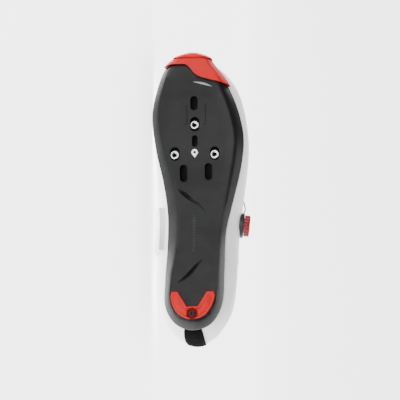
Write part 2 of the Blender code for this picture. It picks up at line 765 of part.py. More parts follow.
def bumper_skin(name, grow, outline, collection, cutters, root):
    """The sole's form grown all round, kept inside one region of the plan."""
    piece = mesh_object(name, loft_mesh(name, sole_loops(grow, grow)), collection, root)
    region = prism_mesh(f"{name}_region", outline, -TOE_SPRING, 3 * TOE_SPRING)
    boolean(piece, cutter_object(f"{name}_region", region, cutters, root), "INTERSECT")
    return piece


def build_toe_bumper(parts, cutters, root):
    """Red rubber over the toe of the plate: a skin of the sole's own form, with a lip."""
    edge = [((1 - row.back) * SOLE_LENGTH, row.across * BALL_WIDTH) for row in BUMPER_EDGE]
    reach = SOLE_LENGTH * 1.1
    outline = edge + [(edge[-1][0], BALL_WIDTH), (reach, BALL_WIDTH)]
    outline += [(reach, -BALL_WIDTH), (edge[0][0], -BALL_WIDTH)]
    grow = SKIN_GAP + BUMPER_THICKNESS
    piece = bumper_skin("toe_bumper", grow, outline, parts, cutters, root)
    low, high = (BUMPER_LIP_OFFSET + side * BUMPER_LIP_HALF for side in (-1, 1))
    front = SOLE_LENGTH * (1 - BUMPER_LIP_BACK)
    lip_outline = [(front, low), (front, high), (reach, high), (reach, low)]
    lip = bumper_skin("toe_lip", grow + BUMPER_LIP, lip_outline, cutters, cutters, root)
    lip.hide_render = True
    lip.display_type = "WIRE"
    boolean(piece, lip, "UNION")
    inside = loft_mesh("toe_inside", sole_loops(SKIN_GAP, SKIN_GAP, BALL_STACK))
    boolean(piece, cutter_object("toe_inside", inside, cutters, root))
    paint(piece, "red_rubber")
    return piece


class EdgePoint(NamedTuple):
    """Rear edge of the toe bumper: back from the toe, and across, as shares."""

    back: float
    across: float


BUMPER_EDGE = (
    EdgePoint(0.060, -0.300),
    EdgePoint(0.060, -0.110),
    EdgePoint(0.072, -0.064),
    EdgePoint(0.110, 0.022),
    EdgePoint(0.130, 0.160),
    EdgePoint(0.146, 0.330),
)


def round_outline(radius, sides):
    """Regular outline round the origin, its first corner on X."""
    turns = [2 * math.pi * side / sides for side in range(sides)]
    return [(radius * math.cos(turn), radius * math.sin(turn)) for turn in turns]


def build_heel_pad(parts, cutters, root):
    """Red rubber U in its pocket, flat on the tread plane, with a screw's hole."""
    floor = TREAD_PAD_DROP + PAD_POCKET - CLEARANCE
    piece = mesh_object("heel_pad", prism_mesh("heel_pad", pad_outline(0.0), 0.0, floor), parts, root)
    rounding = piece.modifiers.new("rounding", "BEVEL")
    rounding.width = PAD_ROUND
    rounding.segments = 1
    rounding.limit_method = "ANGLE"
    rounding.angle_limit = math.radians(60)
    place = Matrix.Translation((PAD_SCREW_PLACE, PAD_OFFSET, 0.0))
    mesh = prism_mesh("pad_hexagon", round_outline(PAD_HEX, 6), -PAD_HEX_DEPTH, PAD_HEX_DEPTH, place)
    boolean(piece, cutter_object("pad_hexagon", mesh, cutters, root))
    hole = round_outline(PAD_SCREW_RADIUS + CLEARANCE, 16)
    mesh = prism_mesh("pad_hole", hole, -floor, 2 * floor, place)
    boolean(piece, cutter_object("pad_hole", mesh, cutters, root))
    paint(piece, "red_rubber")
    return piece


def ring_mesh(name, profile, steps, matrix):
    """Turned ring: a closed profile of radius and height, swept round Z."""
    loops = []
    for index in range(steps):
        angle = 2 * math.pi * index / steps
        loops.append([(r * math.cos(angle), r * math.sin(angle), z) for r, z in profile])
    mesh = loft_mesh(name, loops, cap_ends=False, close_run=True)
    mesh.transform(matrix)
    return mesh


def disc_profile(radius, height, socket_radius, socket_depth, chamfer):
    """Turned outline of a screw head with a blind round socket, from its top down."""
    return [
        (0.0, height - socket_depth),
        (socket_radius, height - socket_depth),
        (socket_radius, height),
        (radius - chamfer, height),
        (radius, height - chamfer),
        (radius, 0.0),
        (0.0, 0.0),
    ]


def turned_object(name, profile, steps, matrix, parts, root):
    """Open profile swept round Z by a Screw modifier."""
    mesh = bpy.data.meshes.new(name)
    mesh.from_pydata([(r, 0.0, z) for r, z in profile], [(i, i + 1) for i in range(len(profile) - 1)], [])
    piece = mesh_object(name, mesh, parts, root)
    piece.matrix_local = matrix
    sweep = piece.modifiers.new("sweep", "SCREW")
    sweep.steps = steps
    sweep.render_steps = steps
    sweep.use_merge_vertices = True
    sweep.merge_threshold = 0.00001
    return piece


def build_pad_screw(parts, root):
    """Dark screw in the heel pad, seated in the plate's pocket."""
    floor = TREAD_PAD_DROP + PAD_POCKET - CLEARANCE
    height = floor - PAD_HEX_DEPTH
    place = Matrix.Translation((PAD_SCREW_PLACE, PAD_OFFSET, floor)) @ Matrix.Rotation(math.pi, 4, "X")
    profile = disc_profile(PAD_SCREW_RADIUS, height, 0.45 * PAD_SCREW_RADIUS, 0.5 * height, 0.0003)
    piece = turned_object("heel_pad_screw", profile, 16, place, parts, root)
    paint(piece, "dark_steel")
    return piece


def build_cleat_nuts(parts, root):
    """Three bright threaded nuts, seated on the floors of their slots."""
    pieces = []
    outer, bore = NUT_DIAMETER / 2, NUT_BORE / 2
    low = -(SLOT_DEPTH - CLEARANCE)
    high = low + NUT_HEIGHT
    profile = [
        (bore, high - NUT_CHAMFER),
        (bore + NUT_CHAMFER, high),
        (outer - NUT_CHAMFER, high),
        (outer, high - NUT_CHAMFER),
        (outer, low),
        (bore, low),
    ]
    for place, (x, y) in cleat_places().items():
        name = f"cleat_nut_{place}"
        piece = mesh_object(name, ring_mesh(name, profile, 16, plate_matrix(x, y)), parts, root)
        paint(piece, "bright_steel")
        pieces.append(piece)
    return pieces


def build_stud(parts, root):
    """Bright drop-shaped stud in its pocket behind the middle slot."""
    low = -(RIVET_HEIGHT - CLEARANCE)
    mesh = prism_mesh("sole_stud", drop_outline(0.0), low, RIVET_PROUD, plate_matrix(*stud_place()))
    piece = mesh_object("sole_stud", mesh, parts, root)
    paint(piece, "bright_steel")
    return piece


def upper_patch(name, u_range, edges, columns, rows, parts, root):
    """Sheet cut from the upper's own face: edges gives its low and high v along u."""
    u = np.linspace(u_range[0], u_range[1], columns)
    share = np.linspace(0.0, 1.0, len(edges))
    low = np.interp(np.linspace(0.0, 1.0, columns), share, [pair[0] for pair in edges])
    high = np.interp(np.linspace(0.0, 1.0, columns), share, [pair[1] for pair in edges])
    grid = [upper_surface(u, low + (high - low) * k, SKIN_GAP) for k in np.linspace(0.0, 1.0, rows)]
    return mesh_object(name, open_surface(name, grid), parts, root)


class Panel(NamedTuple):
    """A panel on the upper: where it lies, its edges, its grid and its thickness."""

    name: str
    u_range: tuple
    edges: tuple
    grid: tuple
    thickness: float
    slot: str


THROAT_EDGES = ((0.80, 0.985), (0.80, 0.985), (0.82, 0.985), (0.88, 0.985))
PANELS = (
    Panel("heel_strip", (-0.46, 0.46), ((0.02, 0.97),), (6, 9), STRIP_THICKNESS, "composite"),
    Panel("eyestay_inner", (5.2, 10.4), THROAT_EDGES, (20, 4), EYESTAY_THICKNESS, "white_shell"),
    Panel("eyestay_outer", (13.6, 18.8), THROAT_EDGES[::-1], (20, 4), EYESTAY_THICKNESS, "white_shell"),
    Panel("instep_wing", (3.95, 5.35), ((0.14, 0.70), (0.10, 0.76)), (8, 8), WING_THICKNESS, "white_shell"),
)


def build_panels(parts, cutters, root):
    """Heel strip, eyestays beside the throat, and the proud wing on the inner side."""
    pieces = {}
    for row in PANELS:
        piece = upper_patch(row.name, row.u_range, row.edges, *row.grid, parts, root)
        solidify(piece, row.thickness, 1.0)
        paint(piece, row.slot)
        pieces[row.name] = piece
    flatten_wing(pieces["instep_wing"], cutters, root)
    return list(pieces.values())


def flatten_wing(wing, cutters, root):
    """Trim the wing to a flat face in line with the sole's inner edge at the ball."""
    edge = sole_outline(0.0)
    ball_x, ball_y = edge[int(np.argmin(edge[:, 1]))]
    corner = Matrix.Translation((0.0, float(ball_y), float(rim_top(ball_x))))
    lean = Matrix.Rotation(-WING_LEAN, 4, "X")
    reach = SOLE_LENGTH
    outline = [(0.0, -BALL_WIDTH), (reach, -BALL_WIDTH), (reach, 0.0), (0.0, 0.0)]
    side = prism_mesh("wing_side", outline, -INSTEP_HEIGHT, INSTEP_HEIGHT, corner @ lean)
    boolean(wing, cutter_object("wing_side", side, cutters, root))


def surface_point(u, v, lift):
    """One point over the upper's face."""
    return Vector(upper_surface(u, v, lift))


def surface_matrix(u, v, lift):
    """Place on the upper: Z points out of it, X runs round the shoe towards higher u."""
    origin = surface_point(u, v, lift)
    out = (surface_point(u, v, lift + 0.001) - origin).normalized()
    ahead = surface_point(u + 0.05, v, lift) - surface_point(u - 0.05, v, lift)
    ahead = (ahead - out * ahead.dot(out)).normalized()
    basis = Matrix((ahead, out.cross(ahead), out)).transposed().to_4x4()
    return Matrix.Translation(origin) @ basis


GUIDES = {
    "lace_guide_inner_front": (7.9, 0.935),
    "lace_guide_inner_rear": (6.2, 0.935),
    "lace_guide_outer_front": (16.1, 0.935),
    "lace_guide_outer_rear": (18.3, 0.935),
}
WIRE_RISE_FRONT = ((18.4, 0.54), (17.8, 0.66), (17.2, 0.79), (16.8, 0.88))
WIRE_RISE_REAR = ((18.9, 0.84), (19.1, 0.74))


def guide_matrix(name):
    """Place of a lace guide, on the middle of its bore."""
    u, v = GUIDES[name]
    lift = SKIN_GAP + EYESTAY_THICKNESS + CLEARANCE + GUIDE_RADIUS
    return surface_matrix(u, v, lift)


def build_guides(parts, root):
    """Four short tubes that turn the wire at the throat's edges."""
    pieces = []
    half = GUIDE_LENGTH / 2
    lip = 0.35 * (GUIDE_RADIUS - GUIDE_BORE)
    profile = [
        (GUIDE_BORE, -half + lip),
        (GUIDE_BORE + lip, -half),
        (GUIDE_RADIUS, -half + lip),
        (GUIDE_RADIUS, half - lip),
        (GUIDE_BORE + lip, half),
        (GUIDE_BORE, half - lip),
    ]
    lie = Matrix.Rotation(math.pi / 2, 4, "Y")
    for name in GUIDES:
        mesh = ring_mesh(name, profile, 10, guide_matrix(name) @ lie)
        piece = mesh_object(name, mesh, parts, root)
        paint(piece, "black_plastic")
        pieces.append(piece)
    return pieces


def build_dial(parts, cutters, root):
    """Lace dial on the outer side: a base shaped to the upper, and a ribbed red knob."""
    u, v = DIAL_PLACE
    place = surface_matrix(u, v, 0.0)
    profile = [
        (0.0, DIAL_BASE_HEIGHT),
        (DIAL_BASE_RADIUS - DIAL_BASE_CHAMFER, DIAL_BASE_HEIGHT),
        (DIAL_BASE_RADIUS, DIAL_BASE_HEIGHT - DIAL_BASE_CHAMFER),
        (DIAL_BASE_RADIUS, -DIAL_BASE_ROOT),
        (0.0, -DIAL_BASE_ROOT),
    ]
    base = turned_object("dial_base", profile, 24, place, parts, root)
    saddle = upper_patch("dial_saddle", (u - 0.9, u + 0.9), ((0.15, 0.80),), 14, 12, cutters, root)
    solidify(saddle, 2 * DIAL_BASE_ROOT, -1.0)
    saddle.hide_render = True
    saddle.display_type = "WIRE"
    boolean(base, saddle)
    paint(base, "black_plastic")
    outline = []
    for index in range(2 * DIAL_TEETH):
        radius = DIAL_KNOB_RADIUS - DIAL_TOOTH_DEPTH * (index % 2)
        angle = math.pi * index / DIAL_TEETH
        outline.append((radius * math.cos(angle), radius * math.sin(angle)))
    low = DIAL_BASE_HEIGHT + CLEARANCE
    mesh = prism_mesh("dial_knob", outline, low, low + DIAL_KNOB_HEIGHT, place)
    knob = mesh_object("dial_knob", mesh, parts, root)
    paint(knob, "red_rubber")
    return [base, knob]


def smooth_route(points, steps):
    """Smooth open curve through the points of a route (Catmull-Rom)."""
    table = np.array([tuple(point) for point in points])
    table = np.concatenate([2 * table[:1] - table[1:2], table, 2 * table[-1:] - table[-2:-1]])
    share = (np.arange(steps) / steps)[:, None]
    curve = []
    for p0, p1, p2, p3 in zip(table, table[1:], table[2:], table[3:]):
        bend = 2 * p0 - 5 * p1 + 4 * p2 - p3 + share * (3 * (p1 - p2) + p3 - p0)
        curve.extend(p1 + 0.5 * share * (p2 - p0 + share * bend))
    curve.append(table[-2])
    return curve


def wire_route():
    """Route of the wire: out of the dial, through four guides and over the throat, and back."""
    reach = GUIDE_LENGTH / 2 + WIRE_LEAD
    dial = surface_matrix(*DIAL_PLACE, 0.0)
    away = DIAL_BASE_RADIUS + CLEARANCE + WIRE_RADIUS
    level = DIAL_BASE_HEIGHT / 2

    def through(name, way):
        place = guide_matrix(name)
        shares = (-1.0, -0.8, -0.3, 0.3, 0.8, 1.0)
        return [place @ Vector((way * share * reach, 0.0, 0.0)) for share in shares]

    def across(*places):
        return [surface_point(u, 1.0, WIRE_LIFT) for u in places]

    up_front = [surface_point(*place, WIRE_LIFT) for place in WIRE_RISE_FRONT]
    down_rear = [surface_point(*place, WIRE_LIFT) for place in WIRE_RISE_REAR]
    return [
        dial @ Vector((-away, 0.0, level)),
        *up_front,
        *through("lace_guide_outer_front", -1.0),
        *across(15.75, 8.25),
        *through("lace_guide_inner_front", -1.0),
        *through("lace_guide_inner_rear", -1.0),
        *across(5.80, 17.70),
        *through("lace_guide_outer_rear", 1.0),
        *down_rear,
        dial @ Vector((0.25 * away, 0.97 * away, level)),
    ]


def build_wire(parts, root):
    """Thin wire lace as one joined run, taut over the throat."""
    points = smooth_route(wire_route(), 2)
    mesh = tube_mesh("lace_wire", points, [WIRE_RADIUS] * len(points), 1)
    piece = mesh_object("lace_wire", mesh, parts, root)
    paint(piece, "black_plastic")
    return piece


def hull_faces(points):
    """Outer triangles of the convex hull: outward normal, offset and corners."""
    bm = bmesh.new()
    for point in points:
        bm.verts.new(point)
    hull = bmesh.ops.convex_hull(bm, input=bm.verts)
    centre = Vector(points.mean(axis=0))
    planes = []
    for face in [item for item in hull["geom"] if isinstance(item, bmesh.types.BMFace)]:
        normal = face.normal.copy()
        corners = [vertex.co.copy() for vertex in face.verts]
        if normal.dot(centre - corners[0]) > 0:
            normal = -normal
        planes.append((normal, normal.dot(corners[0]), corners))
    bm.free()
    return planes


def solid_cloud(piece, graph):
    """Corners of a piece in the standing frame, with its volume and first moment."""
    evaluated = piece.evaluated_get(graph)
    mesh = evaluated.to_mesh()
    mesh.calc_loop_triangles()
    corners = [piece.matrix_world @ vertex.co for vertex in mesh.vertices]
    volume = 0.0
    moment = Vector((0.0, 0.0, 0.0))
    for triangle in mesh.loop_triangles:
        a, b, c = (corners[index] for index in triangle.vertices)
        part_volume = a.dot(b.cross(c)) / 6
        volume += part_volume
        moment += part_volume * (a + b + c) / 4
    evaluated.to_mesh_clear()
    return np.array(corners), volume, moment


def lay_on_inner_side(root, pieces):
    """Turn the shoe so that it rests on its inner side, toe towards -X, sole towards -Y."""
    bpy.context.view_layer.update()
    graph = bpy.context.evaluated_depsgraph_get()
    clouds, volumes, moments = zip(*[solid_cloud(piece, graph) for piece in pieces])
    points = np.concatenate(clouds)
    centre = sum(moments, Vector((0.0, 0.0, 0.0))) / sum(volumes)
    inward = Vector((0.0, -1.0, 0.0))
    sides = [plane for plane in hull_faces(points) if plane[0].dot(inward) > 0.8]
    normal = min(sides, key=lambda plane: plane[1] - plane[0].dot(centre))[0]
    up = -normal
    heelward = (Vector((-1.0, 0.0, 0.0)) - up * Vector((-1.0, 0.0, 0.0)).dot(up)).normalized()
    depth = up.cross(heelward)
    turn = Matrix((heelward, depth, up)).to_4x4()
    laid = np.array([turn @ Vector(point) for point in points])
    low, high = laid.min(axis=0), laid.max(axis=0)
    shift = Vector((-(low[0] + high[0]) / 2, -(low[1] + high[1]) / 2, -low[2]))
    root.matrix_world = Matrix.Translation(shift) @ turn
    bpy.context.view_layer.update()


def new_collection(name):
    """Collection of a given name, linked into the scene."""
    collection = bpy.data.collections.new(name)
    bpy.context.scene.collection.children.link(collection)
    return collection


def main():
    """Clear the scene, build every piece standing, and lay the shoe down."""
    for old in list(bpy.data.objects):
        bpy.data.objects.remove(old, do_unlink=True)
    parts = new_collection("cycling_shoe")
    cutters = new_collection("cutters")
    root = bpy.data.objects.new("shoe_frame", None)
    parts.objects.link(root)
    pieces = [
        build_outsole(parts, cutters, root),
        build_toe_bumper(parts, cutters, root),
        build_heel_pad(parts, cutters, root),
        build_pad_screw(parts, root),
        *build_cleat_nuts(parts, root),
        build_stud(parts, root),
        build_upper(parts, root),
        build_tongue(parts, root),
        build_insole(parts, root),
        *build_panels(parts, cutters, root),
        *build_guides(parts, root),
        *build_dial(parts, cutters, root),
        build_wire(parts, root),
    ]
    lay_on_inner_side(root, pieces)


main()
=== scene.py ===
"""Looks of the left road cycling shoe, which lies on its inner side with the sole in view.

The shoe's forms are worked out standing: X runs from the heel to the toe, Y to the outer side
and Z up from the tread plane. ShoeFrame then puts them where the packed part lies. Lengths
are metres, and table columns hold shares of the named sizes.
"""

import json
import logging
import math
from dataclasses import dataclass
from enum import Enum
from typing import ClassVar, NamedTuple, Sequence

import bmesh
import bpy
import numpy as np
from mathutils import Matrix, Vector


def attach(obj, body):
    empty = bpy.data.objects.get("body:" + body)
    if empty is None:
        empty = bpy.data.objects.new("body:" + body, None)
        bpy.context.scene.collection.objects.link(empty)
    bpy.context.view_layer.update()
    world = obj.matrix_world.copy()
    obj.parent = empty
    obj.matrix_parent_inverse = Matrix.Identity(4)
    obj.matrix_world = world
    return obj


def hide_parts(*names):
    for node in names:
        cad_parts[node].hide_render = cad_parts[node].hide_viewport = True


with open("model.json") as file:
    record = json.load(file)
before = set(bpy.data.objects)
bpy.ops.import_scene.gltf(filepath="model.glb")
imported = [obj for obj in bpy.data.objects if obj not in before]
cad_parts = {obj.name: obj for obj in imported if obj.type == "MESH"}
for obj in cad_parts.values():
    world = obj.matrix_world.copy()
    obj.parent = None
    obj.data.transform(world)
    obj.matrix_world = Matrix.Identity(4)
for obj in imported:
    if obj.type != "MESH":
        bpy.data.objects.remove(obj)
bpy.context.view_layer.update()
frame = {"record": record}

LOG = logging.getLogger("cycling_shoe")
BODY = "root"

# Gaps between pieces and the thickness of thin panels, metres
CLEARANCE = 0.0003
PANEL_GAP = 0.0005
PANEL_THICKNESS = 0.0013

# Layers that the meshes carry for their finishes
# The recess layer holds painted shade for the slots, hollows and the screw's seat
RECESS_SHADE_LAYER = "recess_shade"
VENT_LAYER = "vents"
CLOTH_LAYER = "cloth"

Points = Sequence[Sequence[float]]


def linked(name: str, data: bpy.types.ID) -> bpy.types.Object:
    """A new object in the scene that shows the data."""
    item = bpy.data.objects.new(name, data)
    bpy.context.scene.collection.objects.link(item)
    return item


def store_layer(mesh: bpy.types.Mesh, name: str, values: np.ndarray) -> None:
    """Keep one number for each point of a mesh, as a named layer."""
    layer = mesh.attributes.new(name, "FLOAT", "POINT")
    layer.data.foreach_set("value", values.astype(np.float32))


def facing(ahead: Vector, out: Vector) -> Matrix:
    """Turn that takes X to ahead and Z to out, which are square to each other."""
    return Matrix((ahead, out.cross(ahead), out)).transposed().to_4x4()


def follow(path: Points, steps: int) -> tuple[np.ndarray, np.ndarray]:
    """Places (u, v) spread evenly over the corners of a path on the upper."""
    corners = np.array(path, dtype=float)
    share = np.linspace(0, len(corners) - 1, steps)
    return tuple(np.interp(share, range(len(corners)), column) for column in corners.T)


class Slot(Enum):
    """Material slots of the record."""

    COMPOSITE = "composite"
    RED_RUBBER = "red_rubber"
    BRIGHT_STEEL = "bright_steel"
    DARK_STEEL = "dark_steel"
    BLACK_PLASTIC = "black_plastic"
    WHITE_SHELL = "white_shell"
    WHITE_MESH = "white_mesh"
    GREY_FOAM = "grey_foam"


class Station(NamedTuple):
    """One section of the shoe, from the sole's edge up to the upper's top edge.

    along, across: the sole's edge, shares of the sole's length and the ball's width.
    edge_along, edge_across: the top edge, shares of the same two sizes.
    edge_instep, edge_heel: the top edge's height, shares of the instep's and heel's height.
    low_out, low_up: lower bulge, share of the ball's width outward and of the rise upward.
    high_out, high_up: upper bulge, measured outward from the top edge.
    """

    along: float
    across: float
    edge_along: float
    edge_across: float
    edge_instep: float
    edge_heel: float
    low_out: float
    low_up: float
    high_out: float
    high_up: float


STATIONS = (
    Station(0.000, -0.025, -0.006, -0.010, 0.000, 1.000, 0.085, 0.30, 0.045, 0.72),
    Station(0.022, -0.205, 0.018, -0.180, 0.000, 0.985, 0.085, 0.30, 0.062, 0.72),
    Station(0.080, -0.308, 0.080, -0.280, 0.000, 0.880, 0.095, 0.30, 0.090, 0.75),
    Station(0.170, -0.309, 0.175, -0.330, 0.250, 0.450, 0.145, 0.32, 0.090, 0.78),
    Station(0.285, -0.288, 0.290, -0.345, 0.600, 0.110, 0.175, 0.28, 0.100, 0.70),
    Station(0.400, -0.290, 0.385, -0.285, 0.955, 0.000, 0.180, 0.34, 0.185, 0.79),
    Station(0.510, -0.335, 0.475, -0.200, 0.910, 0.000, 0.182, 0.36, 0.260, 0.70),
    Station(0.620, -0.410, 0.565, -0.140, 0.795, 0.000, 0.090, 0.40, 0.285, 0.70),
    Station(0.745, -0.453, 0.640, -0.095, 0.685, 0.000, 0.030, 0.44, 0.320, 0.72),
    Station(0.860, -0.395, 0.685, -0.065, 0.625, 0.000, 0.010, 0.48, 0.380, 0.76),
    Station(0.935, -0.322, 0.708, -0.040, 0.600, 0.000, 0.000, 0.52, 0.480, 0.76),
    Station(0.975, -0.215, 0.719, -0.020, 0.588, 0.000, 0.005, 0.58, 0.560, 0.76),
    Station(0.994, -0.035, 0.724, 0.000, 0.583, 0.000, 0.010, 0.62, 0.600, 0.76),
    Station(0.975, 0.130, 0.719, 0.020, 0.588, 0.000, 0.045, 0.58, 0.560, 0.76),
    Station(0.935, 0.212, 0.708, 0.040, 0.600, 0.000, 0.250, 0.50, 0.480, 0.75),
    Station(0.860, 0.350, 0.685, 0.065, 0.625, 0.000, 0.280, 0.44, 0.445, 0.70),
    Station(0.760, 0.466, 0.640, 0.095, 0.685, 0.000, 0.226, 0.40, 0.400, 0.64),
    Station(0.660, 0.524, 0.565, 0.140, 0.795, 0.000, 0.182, 0.36, 0.350, 0.62),
    Station(0.560, 0.496, 0.475, 0.200, 0.910, 0.000, 0.155, 0.35, 0.298, 0.66),
    Station(0.450, 0.408, 0.385, 0.285, 0.955, 0.000, 0.155, 0.34, 0.210, 0.72),
    Station(0.340, 0.327, 0.290, 0.340, 0.600, 0.110, 0.195, 0.34, 0.140, 0.78),
    Station(0.200, 0.305, 0.175, 0.325, 0.250, 0.430, 0.205, 0.32, 0.125, 0.76),
    Station(0.090, 0.285, 0.080, 0.270, 0.000, 0.860, 0.145, 0.32, 0.105, 0.74),
    Station(0.022, 0.170, 0.018, 0.160, 0.000, 0.980, 0.090, 0.30, 0.060, 0.72),
)
TURN = len(STATIONS)


class Profile(NamedTuple):
    """The sole's side view and rim at one place, as shares of the sole's sizes.

    along: share of the sole's length.
    arch, spring: rise of the tread, shares of the arch's rise and the toe's spring.
    heel_stack, ball_stack: tread to rim top, shares of the two stacks.
    inner_rim, outer_rim: rim width seen from below, shares of the ball's width.
    bead: height of the outer rim's bead, share of the bead's height.
    pad_drop: rise of the plate that leaves the heel pad proud, share of that drop.
    """

    along: float
    arch: float
    spring: float
    heel_stack: float
    ball_stack: float
    inner_rim: float
    outer_rim: float
    bead: float
    pad_drop: float


PROFILES = (
    Profile(0.00, 0.10, 0.00, 1.00, 0.00, 0.065, 0.065, 0.0, 1.0),
    Profile(0.05, 0.02, 0.00, 1.00, 0.00, 0.065, 0.060, 0.0, 1.0),
    Profile(0.10, 0.00, 0.00, 1.00, 0.00, 0.065, 0.060, 0.0, 1.0),
    Profile(0.17, 0.00, 0.00, 1.00, 0.00, 0.075, 0.060, 0.0, 1.0),
    Profile(0.24, 0.25, 0.00, 0.95, 0.00, 0.095, 0.060, 0.0, 0.7),
    Profile(0.32, 0.70, 0.00, 0.80, 0.00, 0.110, 0.058, 0.0, 0.2),
    Profile(0.40, 1.00, 0.00, 0.60, 0.18, 0.112, 0.058, 0.0, 0.0),
    Profile(0.46, 0.85, 0.00, 0.38, 0.50, 0.110, 0.062, 0.2, 0.0),
    Profile(0.52, 0.45, 0.00, 0.14, 0.84, 0.095, 0.070, 0.5, 0.0),
    Profile(0.57, 0.12, 0.00, 0.03, 0.96, 0.080, 0.075, 0.8, 0.0),
    Profile(0.62, 0.00, 0.00, 0.00, 1.00, 0.074, 0.078, 0.9, 0.0),
    Profile(0.68, 0.00, 0.00, 0.00, 1.00, 0.070, 0.080, 1.0, 0.0),
    Profile(0.78, 0.00, 0.00, 0.00, 1.00, 0.070, 0.082, 1.0, 0.0),
    Profile(0.85, 0.00, 0.16, 0.00, 1.00, 0.070, 0.080, 0.4, 0.0),
    Profile(0.92, 0.00, 0.48, 0.00, 0.98, 0.066, 0.072, 0.0, 0.0),
    Profile(1.00, 0.00, 1.00, 0.00, 0.95, 0.060, 0.060, 0.0, 0.0),
)


def periodic_rows(rows: Sequence, places: np.ndarray) -> np.ndarray:
    """Read a closed table at places, where 1.0 is one row, on a smooth curve."""
    table = np.array(rows, dtype=float)
    places = np.asarray(places, dtype=float)
    start = np.floor(places).astype(int)
    share = (places - start)[..., None]
    p0, p1, p2, p3 = (table[(start + step) % len(table)] for step in (-1, 0, 1, 2))
    bend = 2 * p0 - 5 * p1 + 4 * p2 - p3 + share * (3 * (p1 - p2) + p3 - p0)
    return p1 + 0.5 * share * (p2 - p0 + share * bend)


def monotone_column(column: str, shares: np.ndarray) -> np.ndarray:
    """Read one column of the sole's profile, with no overshoot between its rows."""
    along = np.array([row.along for row in PROFILES])
    values = np.array([getattr(row, column) for row in PROFILES])
    steps = np.diff(along)
    slopes = np.diff(values) / steps
    tangents = np.zeros(len(values))
    same_way = slopes[:-1] * slopes[1:] > 0
    harmonic = 2 * slopes[:-1] * slopes[1:] / np.where(same_way, slopes[:-1] + slopes[1:], 1.0)
    tangents[1:-1] = np.where(same_way, harmonic, 0.0)
    tangents[0] = slopes[0]
    tangents[-1] = slopes[-1]
    places = np.clip(shares, along[0], along[-1])
    index = np.clip(np.searchsorted(along, places, side="right") - 1, 0, len(steps) - 1)
    step = steps[index]
    t = (places - along[index]) / step
    return (
        (1 + 2 * t) * (1 - t) ** 2 * values[index]
        + t * (1 - t) ** 2 * step * tangents[index]
        + t * t * (3 - 2 * t) * values[index + 1]
        + t * t * (t - 1) * step * tangents[index + 1]
    )


